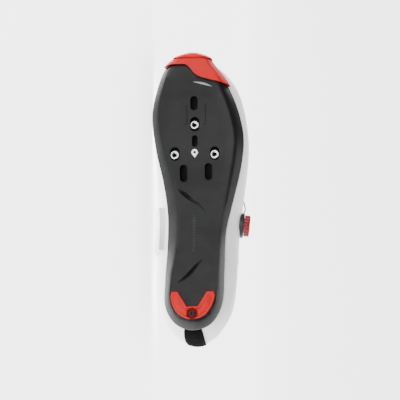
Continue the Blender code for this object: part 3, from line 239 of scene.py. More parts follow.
@dataclass(frozen=True)
class Last:
    """The shoe's sizes, and the forms of its sole and upper that follow from them."""

    length: float = 0.2680
    ball: float = 0.0860
    instep: float = 0.0880
    heel: float = 0.0740
    spring: float = 0.0180
    arch: float = 0.0110
    heel_stack: float = 0.0140
    ball_stack: float = 0.0095
    plate: float = 0.0046
    rim_edge: float = 0.0022
    rim_wall: float = 0.0044
    dish_slope: float = 0.0040
    rim_curve: float = 1.25
    bead_width: float = 0.0048
    bead_height: float = 0.0006
    pad_drop: float = 0.0022
    feather: float = 0.0016
    skin_gap: float = 0.0005
    slope_step: float = 0.02
    probe: float = 0.001

    def column(self, name: str, x: np.ndarray) -> np.ndarray:
        """One column of the sole's profile at the lengths x."""
        return monotone_column(name, np.asarray(x, dtype=float) / self.length)

    def tread(self, x: np.ndarray) -> np.ndarray:
        """Height of the plate's middle above the tread plane."""
        rise = self.arch * self.column("arch", x) + self.spring * self.column("spring", x)
        return rise + self.pad_drop * self.column("pad_drop", x)

    def rim_top(self, x: np.ndarray) -> np.ndarray:
        """Height of the sole's rim."""
        stack = self.heel_stack * self.column("heel_stack", x)
        return self.tread(x) + stack + self.ball_stack * self.column("ball_stack", x)

    def edge(self, places: np.ndarray) -> np.ndarray:
        """Plan position of the sole's edge at the stations' places."""
        rows = periodic_rows(STATIONS, places)
        return np.stack([rows[..., 0] * self.length, rows[..., 1] * self.ball], axis=-1)

    def outward(self, places: np.ndarray) -> np.ndarray:
        """Level unit vector that points out of the sole at each place of its edge."""
        step = self.slope_step
        tangent = self.edge(np.asarray(places) + step) - self.edge(np.asarray(places) - step)
        outward = np.stack([tangent[..., 1], -tangent[..., 0]], axis=-1)
        return outward / np.linalg.norm(outward, axis=-1, keepdims=True)

    def outline(self, grow: float = 0.0) -> np.ndarray:
        """The sole's edge as a fine closed outline, moved out by grow."""
        places = np.linspace(0.0, TURN, 961)
        return self.edge(places) + self.outward(places) * grow

    def base(self, u: np.ndarray, v: np.ndarray) -> np.ndarray:
        """Points of the upper's outer face: u counts stations, v runs from sole to top."""
        u, v = np.broadcast_arrays(np.asarray(u, dtype=float), np.asarray(v, dtype=float))
        rows = periodic_rows(STATIONS, u)
        column = {name: rows[..., index] for index, name in enumerate(Station._fields)}
        outward = self.outward(u)
        foot = self.edge(u) - outward * self.feather
        foot_z = self.rim_top(foot[..., 0]) + self.skin_gap
        edge_x, edge_y = column["edge_along"] * self.length, column["edge_across"] * self.ball
        edge_xy = np.stack([edge_x, edge_y], axis=-1)
        edge_z = column["edge_instep"] * self.instep + column["edge_heel"] * self.heel
        rise = edge_z - foot_z
        low_xy = foot + outward * (column["low_out"] * self.ball)[..., None]
        high_xy = edge_xy + outward * (column["high_out"] * self.ball)[..., None]
        corners = [
            np.concatenate([plan, height[..., None]], axis=-1)
            for plan, height in (
                (foot, foot_z),
                (low_xy, foot_z + column["low_up"] * rise),
                (high_xy, foot_z + column["high_up"] * rise),
                (edge_xy, edge_z),
            )
        ]
        t = v[..., None]
        weights = ((1 - t) ** 3, 3 * t * (1 - t) ** 2, 3 * t * t * (1 - t), t**3)
        return sum(weight * corner for weight, corner in zip(weights, corners))

    def surface(self, u: np.ndarray, v: np.ndarray, lift: np.ndarray) -> np.ndarray:
        """Points on the upper's outer face, moved out by lift along its normal."""
        points = self.base(u, v)
        step = self.slope_step
        round_way = self.base(np.asarray(u) + step, v) - self.base(np.asarray(u) - step, v)
        low = np.clip(np.asarray(v) - step, 0.0, 1.0)
        high = np.clip(np.asarray(v) + step, 0.0, 1.0)
        normal = np.cross(round_way, self.base(u, high) - self.base(u, low))
        normal = normal / np.linalg.norm(normal, axis=-1, keepdims=True)
        return points + np.asarray(lift)[..., None] * normal

    def underside(self, outline: np.ndarray, x: np.ndarray, y: np.ndarray) -> np.ndarray:
        """Height of the sole's underside: plate, outer bead, and the rim that turns up."""
        outer = y > half_widths(outline, float(x[0])).mean()
        inset = self.ball * np.where(outer, self.column("outer_rim", x), self.column("inner_rim", x))
        distance = edge_distance(outline, x, y)
        plate = self.tread(x)
        rise = self.rim_top(x) - self.rim_edge - plate
        turn = np.clip(1.0 - distance / inset, 0.0, 1.0) ** self.rim_curve
        share = np.clip((distance - inset) / self.bead_width, 0.0, 1.0)
        bead = np.sin(math.pi * share) * self.column("bead", x) * outer
        return plate + rise * turn - self.bead_height * bead

    def bed(self, outline: np.ndarray, x: np.ndarray, y: np.ndarray) -> np.ndarray:
        """Height of the sole's top: level on the rim's wall, dished inside it."""
        dish = np.maximum(self.rim_top(x) - self.tread(x) - self.plate, 0.0)
        share = np.clip((edge_distance(outline, x, y) - self.rim_wall) / self.dish_slope, 0.0, 1.0)
        return self.rim_top(x) - dish * share

    def point(self, u: float, v: float, lift: float) -> Vector:
        """One point over the upper's face."""
        return Vector(self.surface(u, v, lift))

    def seat(self, u: float, v: float, lift: float) -> Matrix:
        """Place on the upper: Z points out of it, X runs round the shoe to higher u."""
        origin = self.point(u, v, lift)
        out = (self.point(u, v, lift + self.probe) - origin).normalized()
        ahead = self.point(u + 0.05, v, lift) - self.point(u - 0.05, v, lift)
        ahead = (ahead - out * ahead.dot(out)).normalized()
        return Matrix.Translation(origin) @ facing(ahead, out)

    def plate_seat(self, x: float, y: float) -> Matrix:
        """Place on the plate's underside: Z points out of the sole, X towards the toe."""
        slope = float(self.tread(x + self.probe) - self.tread(x - self.probe)) / (2 * self.probe)
        ahead = Vector((1.0, 0.0, slope)).normalized()
        out = Vector((slope, 0.0, -1.0)).normalized()
        return Matrix.Translation((x, y, float(self.tread(x)))) @ facing(ahead, out)


def half_widths(outline: np.ndarray, x: float) -> np.ndarray:
    """Inner and outer edge of an outline at the length x."""
    toe = int(np.argmax(outline[:, 0]))
    heel = int(np.argmin(outline[: toe + 1, 0]))
    tail = int(np.argmin(outline[toe:, 0])) + toe
    inner = np.interp(x, outline[heel : toe + 1, 0], outline[heel : toe + 1, 1])
    outer = np.interp(x, outline[toe : tail + 1, 0][::-1], outline[toe : tail + 1, 1][::-1])
    return np.array([inner, outer])


def edge_distance(outline: np.ndarray, x: np.ndarray, y: np.ndarray) -> np.ndarray:
    """Distance from points inside an outline to its nearest side."""
    a = outline[:-1]
    side = outline[1:] - a
    points = np.stack([x, y], axis=-1)[:, None, :]
    share = ((points - a) * side).sum(-1) / np.maximum((side * side).sum(-1), 1e-14)
    share = np.clip(share, 0.0, 1.0)
    return np.sqrt(((points - a - share[..., None] * side) ** 2).sum(-1)).min(axis=1)


def smooth_step(low: float, high: float, values: np.ndarray) -> np.ndarray:
    """Soft ramp from 0 at low to 1 at high."""
    share = np.clip((np.asarray(values, dtype=float) - low) / (high - low), 0.0, 1.0)
    return share * share * (3 - 2 * share)


@dataclass(frozen=True)
class ShoeFrame:
    """Where the standing shoe's axes lie in the packed part.

    cleat_place: the cleat's mount on the standing shoe.
    """

    matrix: Matrix
    cleat_place: ClassVar[tuple[float, float, float]] = (0.186, -0.0155, 0.0)

    @classmethod
    def from_record(cls, record: dict) -> "ShoeFrame":
        """Recover the axes from the two mounts on the plate.

        Args:
            record: The packed record.

        Returns:
            The frame that takes standing points to where the part lies.
        """
        mounts = {mount["name"]: mount for mount in record["mounts"]}
        cleat = Vector(mounts["cleat_land"]["pos_m"])
        heel = Vector(mounts["heel_seat"]["pos_m"])
        up = -Vector(mounts["cleat_land"]["axis"]).normalized()
        ahead = cleat - heel
        ahead = (ahead - up * ahead.dot(up)).normalized()
        shift = Matrix.Translation(-Vector(cls.cleat_place))
        return cls(Matrix.Translation(cleat) @ facing(ahead, up) @ shift)

    def vector(self, direction: Points) -> Vector:
        """A direction of the standing shoe, as it lies."""
        return self.matrix.to_3x3() @ Vector(direction)

    def point(self, place: Points) -> Vector:
        """A place of the standing shoe, as it lies."""
        return self.matrix @ Vector(place)


LAST = Last()
SHOE = ShoeFrame.from_record(frame["record"])


def finish_mesh(name: str, bm: bmesh.types.BMesh, merge: float = 1e-6) -> bpy.types.Mesh:
    """Weld a bmesh, turn its faces out and hand it over as a mesh."""
    bmesh.ops.remove_doubles(bm, verts=bm.verts, dist=merge)
    bmesh.ops.recalc_face_normals(bm, faces=bm.faces)
    mesh = bpy.data.meshes.new(name)
    bm.to_mesh(mesh)
    bm.free()
    return mesh


def loft(
    name: str, loops: Sequence[Points], closed_run: bool = False, merge: float = 1e-6
) -> bpy.types.Mesh:
    """Skin a run of closed loops that have the same number of points."""
    bm = bmesh.new()
    rings = [[bm.verts.new(point) for point in loop] for loop in loops]
    pairs = list(zip(rings, rings[1:]))
    if closed_run:
        pairs.append((rings[-1], rings[0]))
    for ring, following in pairs:
        for index in range(len(ring)):
            after = (index + 1) % len(ring)
            bm.faces.new((ring[index], ring[after], following[after], following[index]))
    if not closed_run:
        bm.faces.new(rings[0][::-1])
        bm.faces.new(rings[-1])
    return finish_mesh(name, bm, merge)


def prism(
    name: str, outline: Points, low: float, high: float, matrix: Matrix = Matrix()
) -> bpy.types.Mesh:
    """Straight-sided solid over a flat outline."""
    bm = bmesh.new()
    base = bm.faces.new([bm.verts.new((point[0], point[1], low)) for point in outline])
    grown = bmesh.ops.extrude_face_region(bm, geom=[base])
    for vertex in [item for item in grown["geom"] if isinstance(item, bmesh.types.BMVert)]:
        vertex.co.z = high
    bm.transform(matrix)
    return finish_mesh(name, bm)


def turned(name: str, profile: Points, steps: int, matrix: Matrix = Matrix()) -> bpy.types.Mesh:
    """Turned solid: a closed or axis-to-axis profile of radius and height, swept round Z."""
    loops = []
    for index in range(steps):
        angle = 2 * math.pi * index / steps
        loops.append([(r * math.cos(angle), r * math.sin(angle), z) for r, z in profile])
    mesh = loft(name, loops, closed_run=True)
    mesh.transform(matrix)
    return mesh


def tube(name: str, points: Sequence[Vector], radii: Sequence[float], resolution: int) -> bpy.types.Mesh:
    """Closed tube along points, its radius given at each point."""
    curve = bpy.data.curves.new(name, "CURVE")
    curve.dimensions = "3D"
    curve.bevel_depth = 1.0
    curve.bevel_resolution = resolution
    curve.use_fill_caps = True
    spline = curve.splines.new("POLY")
    spline.points.add(len(points) - 1)
    for spot, point, radius in zip(spline.points, points, radii):
        spot.co = (*point, 1.0)
        spot.radius = radius
    holder = linked(name, curve)
    mesh = evaluated_mesh(holder)
    bpy.data.objects.remove(holder, do_unlink=True)
    bpy.data.curves.remove(curve)
    bm = bmesh.new()
    bm.from_mesh(mesh)
    bpy.data.meshes.remove(mesh)
    return finish_mesh(name, bm)


def join_meshes(name: str, meshes: Sequence[bpy.types.Mesh]) -> bpy.types.Mesh:
    """Put several meshes into one and drop the originals."""
    bm = bmesh.new()
    for mesh in meshes:
        bm.from_mesh(mesh)
        bpy.data.meshes.remove(mesh)
    joined = bpy.data.meshes.new(name)
    bm.to_mesh(joined)
    bm.free()
    return joined


def smooth_route(points: Sequence[Points], steps: int) -> list[Vector]:
    """Smooth open curve through the points of a route."""
    table = np.array([tuple(point) for point in points], dtype=float)
    table = np.concatenate([2 * table[:1] - table[1:2], table, 2 * table[-1:] - table[-2:-1]])
    share = (np.arange(steps) / steps)[:, None]
    curve = []
    for p0, p1, p2, p3 in zip(table, table[1:], table[2:], table[3:]):
        bend = 2 * p0 - 5 * p1 + 4 * p2 - p3 + share * (3 * (p1 - p2) + p3 - p0)
        curve.extend(Vector(row) for row in p1 + 0.5 * share * (p2 - p0 + share * bend))
    curve.append(Vector(table[-2]))
    return curve


def slot_outline(length: float, width: float, sides: int = 12) -> list[tuple[float, float]]:
    """Outline of a slot with round ends, its length along X."""
    radius = width / 2
    reach = max(length / 2 - radius, 0.0)
    points = []
    for centre, start in ((reach, -90), (-reach, 90)):
        for index in range(sides + 1):
            angle = math.radians(start + 180 * index / sides)
            points.append((centre + radius * math.cos(angle), radius * math.sin(angle)))
    return points


def cut(
    mesh: bpy.types.Mesh, cutters: Sequence[bpy.types.Mesh], operation: str = "DIFFERENCE"
) -> bpy.types.Mesh:
    """Cut or join a mesh with others by exact Booleans and return the result.

    Args:
        mesh: The mesh to work on, which is used up.
        cutters: Closed meshes, which are used up.
        operation: DIFFERENCE, UNION or INTERSECT.

    Returns:
        The finished mesh.
    """
    holder = linked(mesh.name, mesh)
    tools = [linked(cutter.name, cutter) for cutter in cutters]
    for tool in tools:
        modifier = holder.modifiers.new(tool.name, "BOOLEAN")
        modifier.operation = operation
        modifier.solver = "EXACT"
        modifier.object = tool
    result = evaluated_mesh(holder)
    for item in (holder, *tools):
        data = item.data
        bpy.data.objects.remove(item, do_unlink=True)
        bpy.data.meshes.remove(data)
    return result


def evaluated_mesh(item: bpy.types.Object) -> bpy.types.Mesh:
    """A new mesh with the object's modifiers applied."""
    bpy.context.view_layer.update()
    graph = bpy.context.evaluated_depsgraph_get()
    return bpy.data.meshes.new_from_object(item.evaluated_get(graph))


def rounded(mesh: bpy.types.Mesh, width: float, segments: int, angle: float) -> bpy.types.Mesh:
    """Round a mesh's edges that turn by more than the angle, by width, and return the result."""
    holder = linked(mesh.name, mesh)
    modifier = holder.modifiers.new("rounding", "BEVEL")
    modifier.width = width
    modifier.segments = segments
    modifier.limit_method = "ANGLE"
    modifier.angle_limit = math.radians(angle)
    modifier.use_clamp_overlap = True
    result = evaluated_mesh(holder)
    bpy.data.objects.remove(holder, do_unlink=True)
    bpy.data.meshes.remove(mesh)
    return result


class Piece:
    """Puts finished meshes into the scene as pieces of the shoe."""

    @staticmethod
    def place(
        name: str,
        mesh: bpy.types.Mesh,
        material: bpy.types.Material,
        slot: Slot,
        nodes: Sequence[str] = (),
        sharp: float = 35.0,
    ) -> bpy.types.Object:
        """Lay a standing mesh down with the part, dress it and let it ride.

        Args:
            name: Name of the piece.
            mesh: Mesh in the standing shoe's axes.
            material: Its material.
            slot: The record's slot; not used.
            nodes: Nodes of the packed part that it stands for.
            sharp: Angle in degrees above which an edge stays sharp.

        Returns:
            The object in the scene.
        """
        mesh.name = name
        mesh.transform(SHOE.matrix)
        mesh.materials.clear()
        mesh.materials.append(material)
        mesh.shade_smooth()
        mesh.set_sharp_from_angle(angle=math.radians(sharp))
        item = linked(name, mesh)
        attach(item, BODY)
        if nodes:
            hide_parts(*nodes)
        LOG.info("%s: %d faces", name, len(mesh.polygons))
        return item


@dataclass(frozen=True)
class Bench:
    """Adds shader nodes to a tree and joins them."""

    tree: bpy.types.NodeTree

    def add(self, kind: str, inputs: dict | None = None, **settings) -> bpy.types.Node:
        """Add one node.

        Args:
            kind: Name of the node's type.
            inputs: Values or output sockets, by the input's name or number.
            settings: Properties of the node.

        Returns:
            The new node.
        """
        node = self.tree.nodes.new(kind)
        for key, value in settings.items():
            setattr(node, key, value)
        for key, value in (inputs or {}).items():
            if isinstance(value, bpy.types.NodeSocket):
                self.tree.links.new(value, node.inputs[key])
            else:
                node.inputs[key].default_value = value
        return node

    def math(self, operation: str, *values) -> bpy.types.NodeSocket:
        """One arithmetic step on values or sockets."""
        node = self.add("ShaderNodeMath", dict(enumerate(values)), operation=operation)
        return node.outputs[0]

    def ramp(self, value: bpy.types.NodeSocket, low: float, high: float) -> bpy.types.NodeSocket:
        """Soft ramp of a value from 0 at low to 1 at high."""
        inputs = {"Value": value, "From Min": low, "From Max": high}
        node = self.add("ShaderNodeMapRange", inputs, interpolation_type="SMOOTHSTEP")
        return node.outputs["Result"]

    def join(self, source: bpy.types.NodeSocket, node: bpy.types.Node, name: str) -> None:
        """Feed a node's named input."""
        self.tree.links.new(source, node.inputs[name])

    def blend(self, share: bpy.types.NodeSocket, first, second) -> bpy.types.NodeSocket:
        """Mix two colours by a share."""
        node = self.add("ShaderNodeMix", {"Factor": share}, data_type="RGBA")
        for socket, value in ((node.inputs[6], first), (node.inputs[7], second)):
            if isinstance(value, bpy.types.NodeSocket):
                self.tree.links.new(value, socket)
            else:
                socket.default_value = (*value, 1.0)
        return node.outputs[2]


class Effect(Enum):
    """Shared surface effects, each one node group."""

    GRAIN = "grain"
    WEAVE = "weave"
    EDGE_WEAR = "edge_wear"
    DUST = "dust"


class EffectShelf:
    """Builds each shared effect once and places it in materials."""

    def __init__(self) -> None:
        """Build every group."""
        makers = {
            Effect.GRAIN: self.make_grain,
            Effect.WEAVE: self.make_weave,
            Effect.EDGE_WEAR: self.make_edge_wear,
            Effect.DUST: self.make_dust,
        }
        self.groups = {effect: maker(effect) for effect, maker in makers.items()}

    def start(
        self, effect: Effect, takes: dict, gives: Sequence[str]
    ) -> tuple[Bench, dict, bpy.types.Node]:
        """Open a group with named sockets.

        Args:
            effect: The effect.
            takes: Default of each input by name; None for a vector.
            gives: Names of the outputs.

        Returns:
            The group's bench, its input sockets by name, and its output node.
        """
        tree = bpy.data.node_groups.new(effect.value, "ShaderNodeTree")
        for name, default in takes.items():
            kind = "NodeSocketVector" if default is None else "NodeSocketFloat"
            socket = tree.interface.new_socket(name=name, in_out="INPUT", socket_type=kind)
            if default is not None:
                socket.default_value = default
        for name in gives:
            tree.interface.new_socket(name=name, in_out="OUTPUT", socket_type="NodeSocketFloat")
        bench = Bench(tree)
        source = bench.add("NodeGroupInput")
        return bench, {name: source.outputs[name] for name in takes}, bench.add("NodeGroupOutput")

    def make_grain(self, effect: Effect) -> bpy.types.NodeTree:
        """Fine pebbled grain: a height, and slow speckle for the tone."""
        bench, takes, out = self.start(effect, {"Vector": None, "Size": 0.0006}, ("Height", "Speckle"))
        scale = bench.math("DIVIDE", 1.0, takes["Size"])
        inputs = {"Vector": takes["Vector"], "Scale": scale}
        cells = bench.add("ShaderNodeTexVoronoi", inputs, feature="SMOOTH_F1")
        noise = bench.add("ShaderNodeTexNoise", {**inputs, "Detail": 3.0})
        slow = bench.math("MULTIPLY", scale, 0.03)
        speckle = bench.add("ShaderNodeTexNoise", {**inputs, "Scale": slow, "Detail": 5.0})
        height = bench.math("MULTIPLY_ADD", cells.outputs["Distance"], 0.6, noise.outputs["Fac"])
        bench.join(height, out, "Height")
        bench.join(speckle.outputs["Fac"], out, "Speckle")
        return bench.tree

    def make_weave(self, effect: Effect) -> bpy.types.NodeTree:
        """Knitted mesh: threads that cross at a pitch, and the gaps between them."""
        bench, takes, out = self.start(effect, {"Vector": None, "Pitch": 0.0012}, ("Height", "Gap"))
        turns = bench.math("DIVIDE", 2 * math.pi, takes["Pitch"])
        axes = bench.add("ShaderNodeSeparateXYZ", {0: takes["Vector"]})
        waves = []
        for axis in ("X", "Y"):
            angle = bench.math("MULTIPLY", axes.outputs[axis], turns)
            waves.append(bench.math("COSINE", angle))
        crossed = bench.math("MULTIPLY", *waves)
        summed = bench.math("MULTIPLY", bench.math("ADD", *waves), 0.25)
        height = bench.math("ADD", bench.math("MULTIPLY", crossed, 0.5), summed)
        bench.join(height, out, "Height")
        bench.join(bench.ramp(height, 0.62, 0.9), out, "Gap")
        return bench.tree

    def make_edge_wear(self, effect: Effect) -> bpy.types.NodeTree:
        """Rubbed edges, where the surface turns sharply, broken up by a fine noise."""
        bench, takes, out = self.start(effect, {"Vector": None, "Radius": 0.0006, "Amount": 0.5}, ("Mask",))
        soft = bench.add("ShaderNodeBevel", {"Radius": takes["Radius"]}, samples=4)
        plain = bench.add("ShaderNodeNewGeometry")
        inputs = {0: soft.outputs["Normal"], 1: plain.outputs["Normal"]}
        along = bench.add("ShaderNodeVectorMath", inputs, operation="DOT_PRODUCT").outputs["Value"]
        noise = bench.add("ShaderNodeTexNoise", {"Vector": takes["Vector"], "Scale": 900.0, "Detail": 4.0})
        turned_away = bench.math("SUBTRACT", 1.0, along)
        broken = bench.math("MULTIPLY", turned_away, bench.ramp(noise.outputs["Fac"], 0.42, 0.62))
        mask = bench.math("MULTIPLY", bench.ramp(broken, 0.02, 0.2), takes["Amount"])
        bench.join(mask, out, "Mask")
        return bench.tree

    def make_dust(self, effect: Effect) -> bpy.types.NodeTree:
        """Thin uneven dust and hand marks."""
        bench, takes, out = self.start(effect, {"Vector": None, "Amount": 0.2}, ("Mask",))
        broad = bench.add("ShaderNodeTexNoise", {"Vector": takes["Vector"], "Scale": 35.0, "Detail": 6.0})
        fine = bench.add("ShaderNodeTexNoise", {"Vector": takes["Vector"], "Scale": 1500.0, "Detail": 2.0})
        patch = bench.ramp(broad.outputs["Fac"], 0.42, 0.75)
        mask = bench.math("MULTIPLY", patch, bench.ramp(fine.outputs["Fac"], 0.3, 0.7))
        bench.join(bench.math("MULTIPLY", mask, takes["Amount"]), out, "Mask")
        return bench.tree

    def place(
        self, bench: Bench, effect: Effect, vector: bpy.types.NodeSocket, **values: float
    ) -> bpy.types.Node:
        """Put one effect in a material with its own values."""
        node = bench.add("ShaderNodeGroup", node_tree=self.groups[effect])
        bench.join(vector, node, "Vector")
        for name, value in values.items():
            node.inputs[name.capitalize()].default_value = value
        return node


# Dust's colour; the painted shade that darkens recesses and how much rougher it makes them; and how the gaps
# of cloth change a finish
DUST_COLOR = (0.30, 0.29, 0.27)
RECESS_SHADE_TONE = 0.12
RECESS_ROUGHNESS = 0.5
GAP_TONE = 0.25


@dataclass(frozen=True)
class Finish:
    """One finish of the shoe. Colours are linear, lengths are metres.

    worn, wear, wear_radius: colour and strength of rubbed edges and how far they reach.
    grain_size, grain_depth: pebble size and height.
    pitch, weave_depth, gap_shade: thread pitch and height of woven cloth, gaps' darkening.
    zone: name of a mesh layer that says where the weave lies; empty for everywhere.
    recess: name of a mesh layer of painted shade, which darkens slots and hollows and makes them rougher;
    empty for none.
    """

    name: str
    color: tuple[float, float, float]
    roughness: float
    metallic: float = 0.0
    coat: float = 0.0
    coat_roughness: float = 0.25
    sheen: float = 0.0
    tone: float = 0.08
    worn: tuple[float, float, float] = (0.5, 0.5, 0.5)
    wear: float = 0.2
    wear_radius: float = 0.0005
    dust: float = 0.08
    grain_size: float = 0.0005
    grain_depth: float = 0.00003
    pitch: float = 0.0
    weave_depth: float = 0.0
    gap_shade: float = 0.5
    zone: str = ""
    anisotropic: float = 0.0
    specular: float = 0.5
    recess_shade: str = ""

    def build(self, shelf: EffectShelf) -> bpy.types.Material:
        """Make the material.

        Args:
            shelf: The shared effects.

        Returns:
            The material, its shader fed by the effects' colours, masks and heights.
        """
        material = bpy.data.materials.new(self.name)
        material.use_nodes = True
        bench = Bench(material.node_tree)
        shader = material.node_tree.nodes["Principled BSDF"]
        settings = {
            "Metallic": self.metallic,
            "Coat Weight": self.coat,
            "Coat Roughness": self.coat_roughness,
            "Sheen Weight": self.sheen,
            "Anisotropic": self.anisotropic,
            "Specular IOR Level": self.specular,
        }
        for name, value in settings.items():
            shader.inputs[name].default_value = value
        place = bench.add("ShaderNodeTexCoord").outputs["Object"]
        grain = shelf.place(bench, Effect.GRAIN, place, size=self.grain_size)
        wear = shelf.place(bench, Effect.EDGE_WEAR, place, radius=self.wear_radius, amount=self.wear)
        dust = shelf.place(bench, Effect.DUST, place, amount=self.dust)
        light = tuple(min(1.0, value * (1 + self.tone)) for value in self.color)
        dark = tuple(value * (1 - self.tone) for value in self.color)
        color = bench.blend(bench.ramp(grain.outputs["Speckle"], 0.35, 0.65), dark, light)
        dusty = tuple((value + level) / 2 for value, level in zip(self.color, DUST_COLOR))
        color = bench.blend(dust.outputs["Mask"], color, dusty)
        color = bench.blend(wear.outputs["Mask"], color, self.worn)
        rough = bench.math("MULTIPLY_ADD", grain.outputs["Height"], 0.12, self.roughness - 0.06)
        rough = bench.math("MULTIPLY_ADD", dust.outputs["Mask"], 0.4, rough)
        relief = {"Height": grain.outputs["Height"], "Distance": self.grain_depth, "Strength": 1.0}
        bump = bench.add("ShaderNodeBump", relief)
        if self.pitch:
            color, bump = self.weave(bench, shelf, color, bump)
        # Painted shade: where the recess layer is set, the colour is darkened towards black and made rougher
        if self.recess_shade:
            layer = bench.add("ShaderNodeAttribute", attribute_name=self.recess_shade).outputs["Fac"]
            color = bench.blend(layer, color, tuple(value * RECESS_SHADE_TONE for value in self.color))
            rough = bench.math("MULTIPLY_ADD", layer, RECESS_ROUGHNESS, rough)
        bench.join(color, shader, "Base Color")
        bench.join(rough, shader, "Roughness")
        bench.join(bump.outputs["Normal"], shader, "Normal")
        return material

    def weave(
        self, bench: Bench, shelf: EffectShelf, color: bpy.types.NodeSocket, bump: bpy.types.Node
    ) -> tuple[bpy.types.NodeSocket, bpy.types.Node]:
        """Lay the woven relief and its darker gaps over a colour and a bump."""
        chart = bench.add("ShaderNodeUVMap", uv_map=CLOTH_LAYER).outputs["UV"]
        cloth = shelf.place(bench, Effect.WEAVE, chart, pitch=self.pitch)
        gap = bench.math("MULTIPLY", cloth.outputs["Gap"], self.gap_shade)
        height = cloth.outputs["Height"]
        if self.zone:
            layer = bench.add("ShaderNodeAttribute", attribute_name=self.zone).outputs["Fac"]
            gap = bench.math("MULTIPLY", gap, layer)
            height = bench.math("MULTIPLY", height, layer)
        deep = tuple(value * GAP_TONE for value in self.color)
        inputs = {"Height": height, "Distance": self.weave_depth, "Normal": bump.outputs["Normal"]}
        raised = bench.add("ShaderNodeBump", inputs, invert=True)
        return bench.blend(gap, color, deep), raised


class Look:
    """The shoe's finishes, built once."""

    PLATE = Finish(
        "plate_composite", (0.0070, 0.0072, 0.0075), 0.36, tone=0.12, worn=(0.035, 0.035, 0.036), wear=0.5,
        wear_radius=0.0006, dust=0.015, grain_size=0.00045, grain_depth=0.000022, specular=0.14,
        recess_shade=RECESS_SHADE_LAYER,
    )
    RED_RUBBER = Finish(
        "red_rubber", (0.42, 0.0008, 0.0015), 0.40, tone=0.06, worn=(0.7, 0.03, 0.03), wear=0.45,
        wear_radius=0.0004, dust=0.01, grain_size=0.0004, grain_depth=0.00002, specular=0.15,
        recess_shade=RECESS_SHADE_LAYER,
    )
    STRIP_RUBBER = Finish(
        "black_strip_rubber", (0.0030, 0.0030, 0.0032), 0.70, tone=0.12, worn=(0.03, 0.03, 0.03), wear=0.5,
        dust=0.01, grain_size=0.0004, grain_depth=0.00003, specular=0.01,
    )
    RED_PLASTIC = Finish(
        "red_knob_plastic", (0.30, 0.002, 0.008), 0.32, tone=0.05, coat=0.1, worn=(0.7, 0.04, 0.04), wear=0.4,
        wear_radius=0.0003, dust=0.05, grain_size=0.0003, grain_depth=0.000008,
    )
    BRIGHT_STEEL = Finish(
        "bright_plated_steel", (0.50, 0.51, 0.52), 0.22, metallic=1.0, tone=0.05, worn=(0.93, 0.93, 0.93),
        wear=0.4, wear_radius=0.0003, dust=0.05, grain_size=0.00025, grain_depth=0.000006, anisotropic=0.35,
    )
    DARK_STEEL = Finish(
        "blackened_steel", (0.022, 0.022, 0.026), 0.40, metallic=1.0, tone=0.12, worn=(0.10, 0.10, 0.10),
        wear=0.4, wear_radius=0.0003, dust=0.12, grain_size=0.00025, grain_depth=0.000008,
    )
    BLACK_PLASTIC = Finish(
        "black_moulded_plastic", (0.018, 0.018, 0.020), 0.40, tone=0.10, worn=(0.12, 0.12, 0.12), wear=0.4,
        wear_radius=0.0003, dust=0.12, grain_size=0.0003, grain_depth=0.00001,
    )
    WIRE = Finish(
        "coated_wire", (0.030, 0.030, 0.033), 0.35, metallic=0.3, tone=0.12, worn=(0.3, 0.3, 0.3), wear=0.2,
        wear_radius=0.0001, dust=0.05, grain_size=0.00025, grain_depth=0.00001,
    )
    WHITE_SHELL = Finish(
        "white_synthetic_leather", (0.86, 0.868, 0.872), 0.40, coat=0.12, coat_roughness=0.35, tone=0.015,
        worn=(0.74, 0.74, 0.73), wear=0.15, wear_radius=0.0005, dust=0.05, grain_size=0.0007,
        grain_depth=0.000035, pitch=0.0034, weave_depth=0.00012, gap_shade=0.62, zone=VENT_LAYER,
    )
    WHITE_WELD = Finish(
        "white_welded_panel", (0.87, 0.875, 0.878), 0.30, coat=0.25, coat_roughness=0.3, tone=0.012,
        worn=(0.72, 0.72, 0.71), wear=0.2, wear_radius=0.0005, dust=0.04, grain_size=0.0005,
        grain_depth=0.000016,
    )
    WHITE_MESH = Finish(
        "white_padded_mesh", (0.80, 0.81, 0.815), 0.72, sheen=0.25, tone=0.03, worn=(0.7, 0.7, 0.7), wear=0.1,
        dust=0.05, grain_size=0.0004, grain_depth=0.00002, pitch=0.0019, weave_depth=0.00022, gap_shade=0.5,
    )
    LINING = Finish(
        "grey_lining_cloth", (0.20, 0.205, 0.215), 0.80, sheen=0.35, tone=0.06, worn=(0.3, 0.3, 0.3),
        wear=0.1, dust=0.06, grain_size=0.0004, grain_depth=0.00002,
        pitch=0.0014, weave_depth=0.00018, gap_shade=0.55,
    )
    FOOTBED = Finish(
        "dark_footbed_cloth", (0.085, 0.087, 0.095), 0.85, sheen=0.3, tone=0.08, worn=(0.2, 0.2, 0.2),
        wear=0.15, dust=0.12, grain_size=0.0005, grain_depth=0.00003,
        pitch=0.0012, weave_depth=0.00015, gap_shade=0.4,
    )
    THREAD = Finish(
        "white_thread", (0.80, 0.80, 0.79), 0.65, sheen=0.2, tone=0.04, worn=(0.7, 0.7, 0.7), wear=0.0,
        dust=0.05, grain_size=0.00015, grain_depth=0.00001,
    )
    # A painted highlight: pale grey for the crescent where light glints on the plate
    PAINTED_HIGHLIGHT = Finish(
        "painted_highlight_grey", (0.20, 0.205, 0.21), 0.30, tone=0.1, worn=(0.4, 0.4, 0.4), wear=0.0, dust=0.05,
        grain_size=0.0003, grain_depth=0.000008,
    )
    PRINT = Finish(
        "dark_mark_ink", (0.004, 0.004, 0.004), 0.50, tone=0.25, worn=(0.02, 0.02, 0.02), wear=0.0,
        dust=0.01, grain_size=0.0003, grain_depth=0.000008, specular=0.03,
    )
    GREY_PRINT = Finish(
        "grey_mark_ink", (0.030, 0.031, 0.031), 0.50, tone=0.25, worn=(0.05, 0.05, 0.05), wear=0.0,
        dust=0.02, grain_size=0.0003, grain_depth=0.000008, specular=0.2,
    )

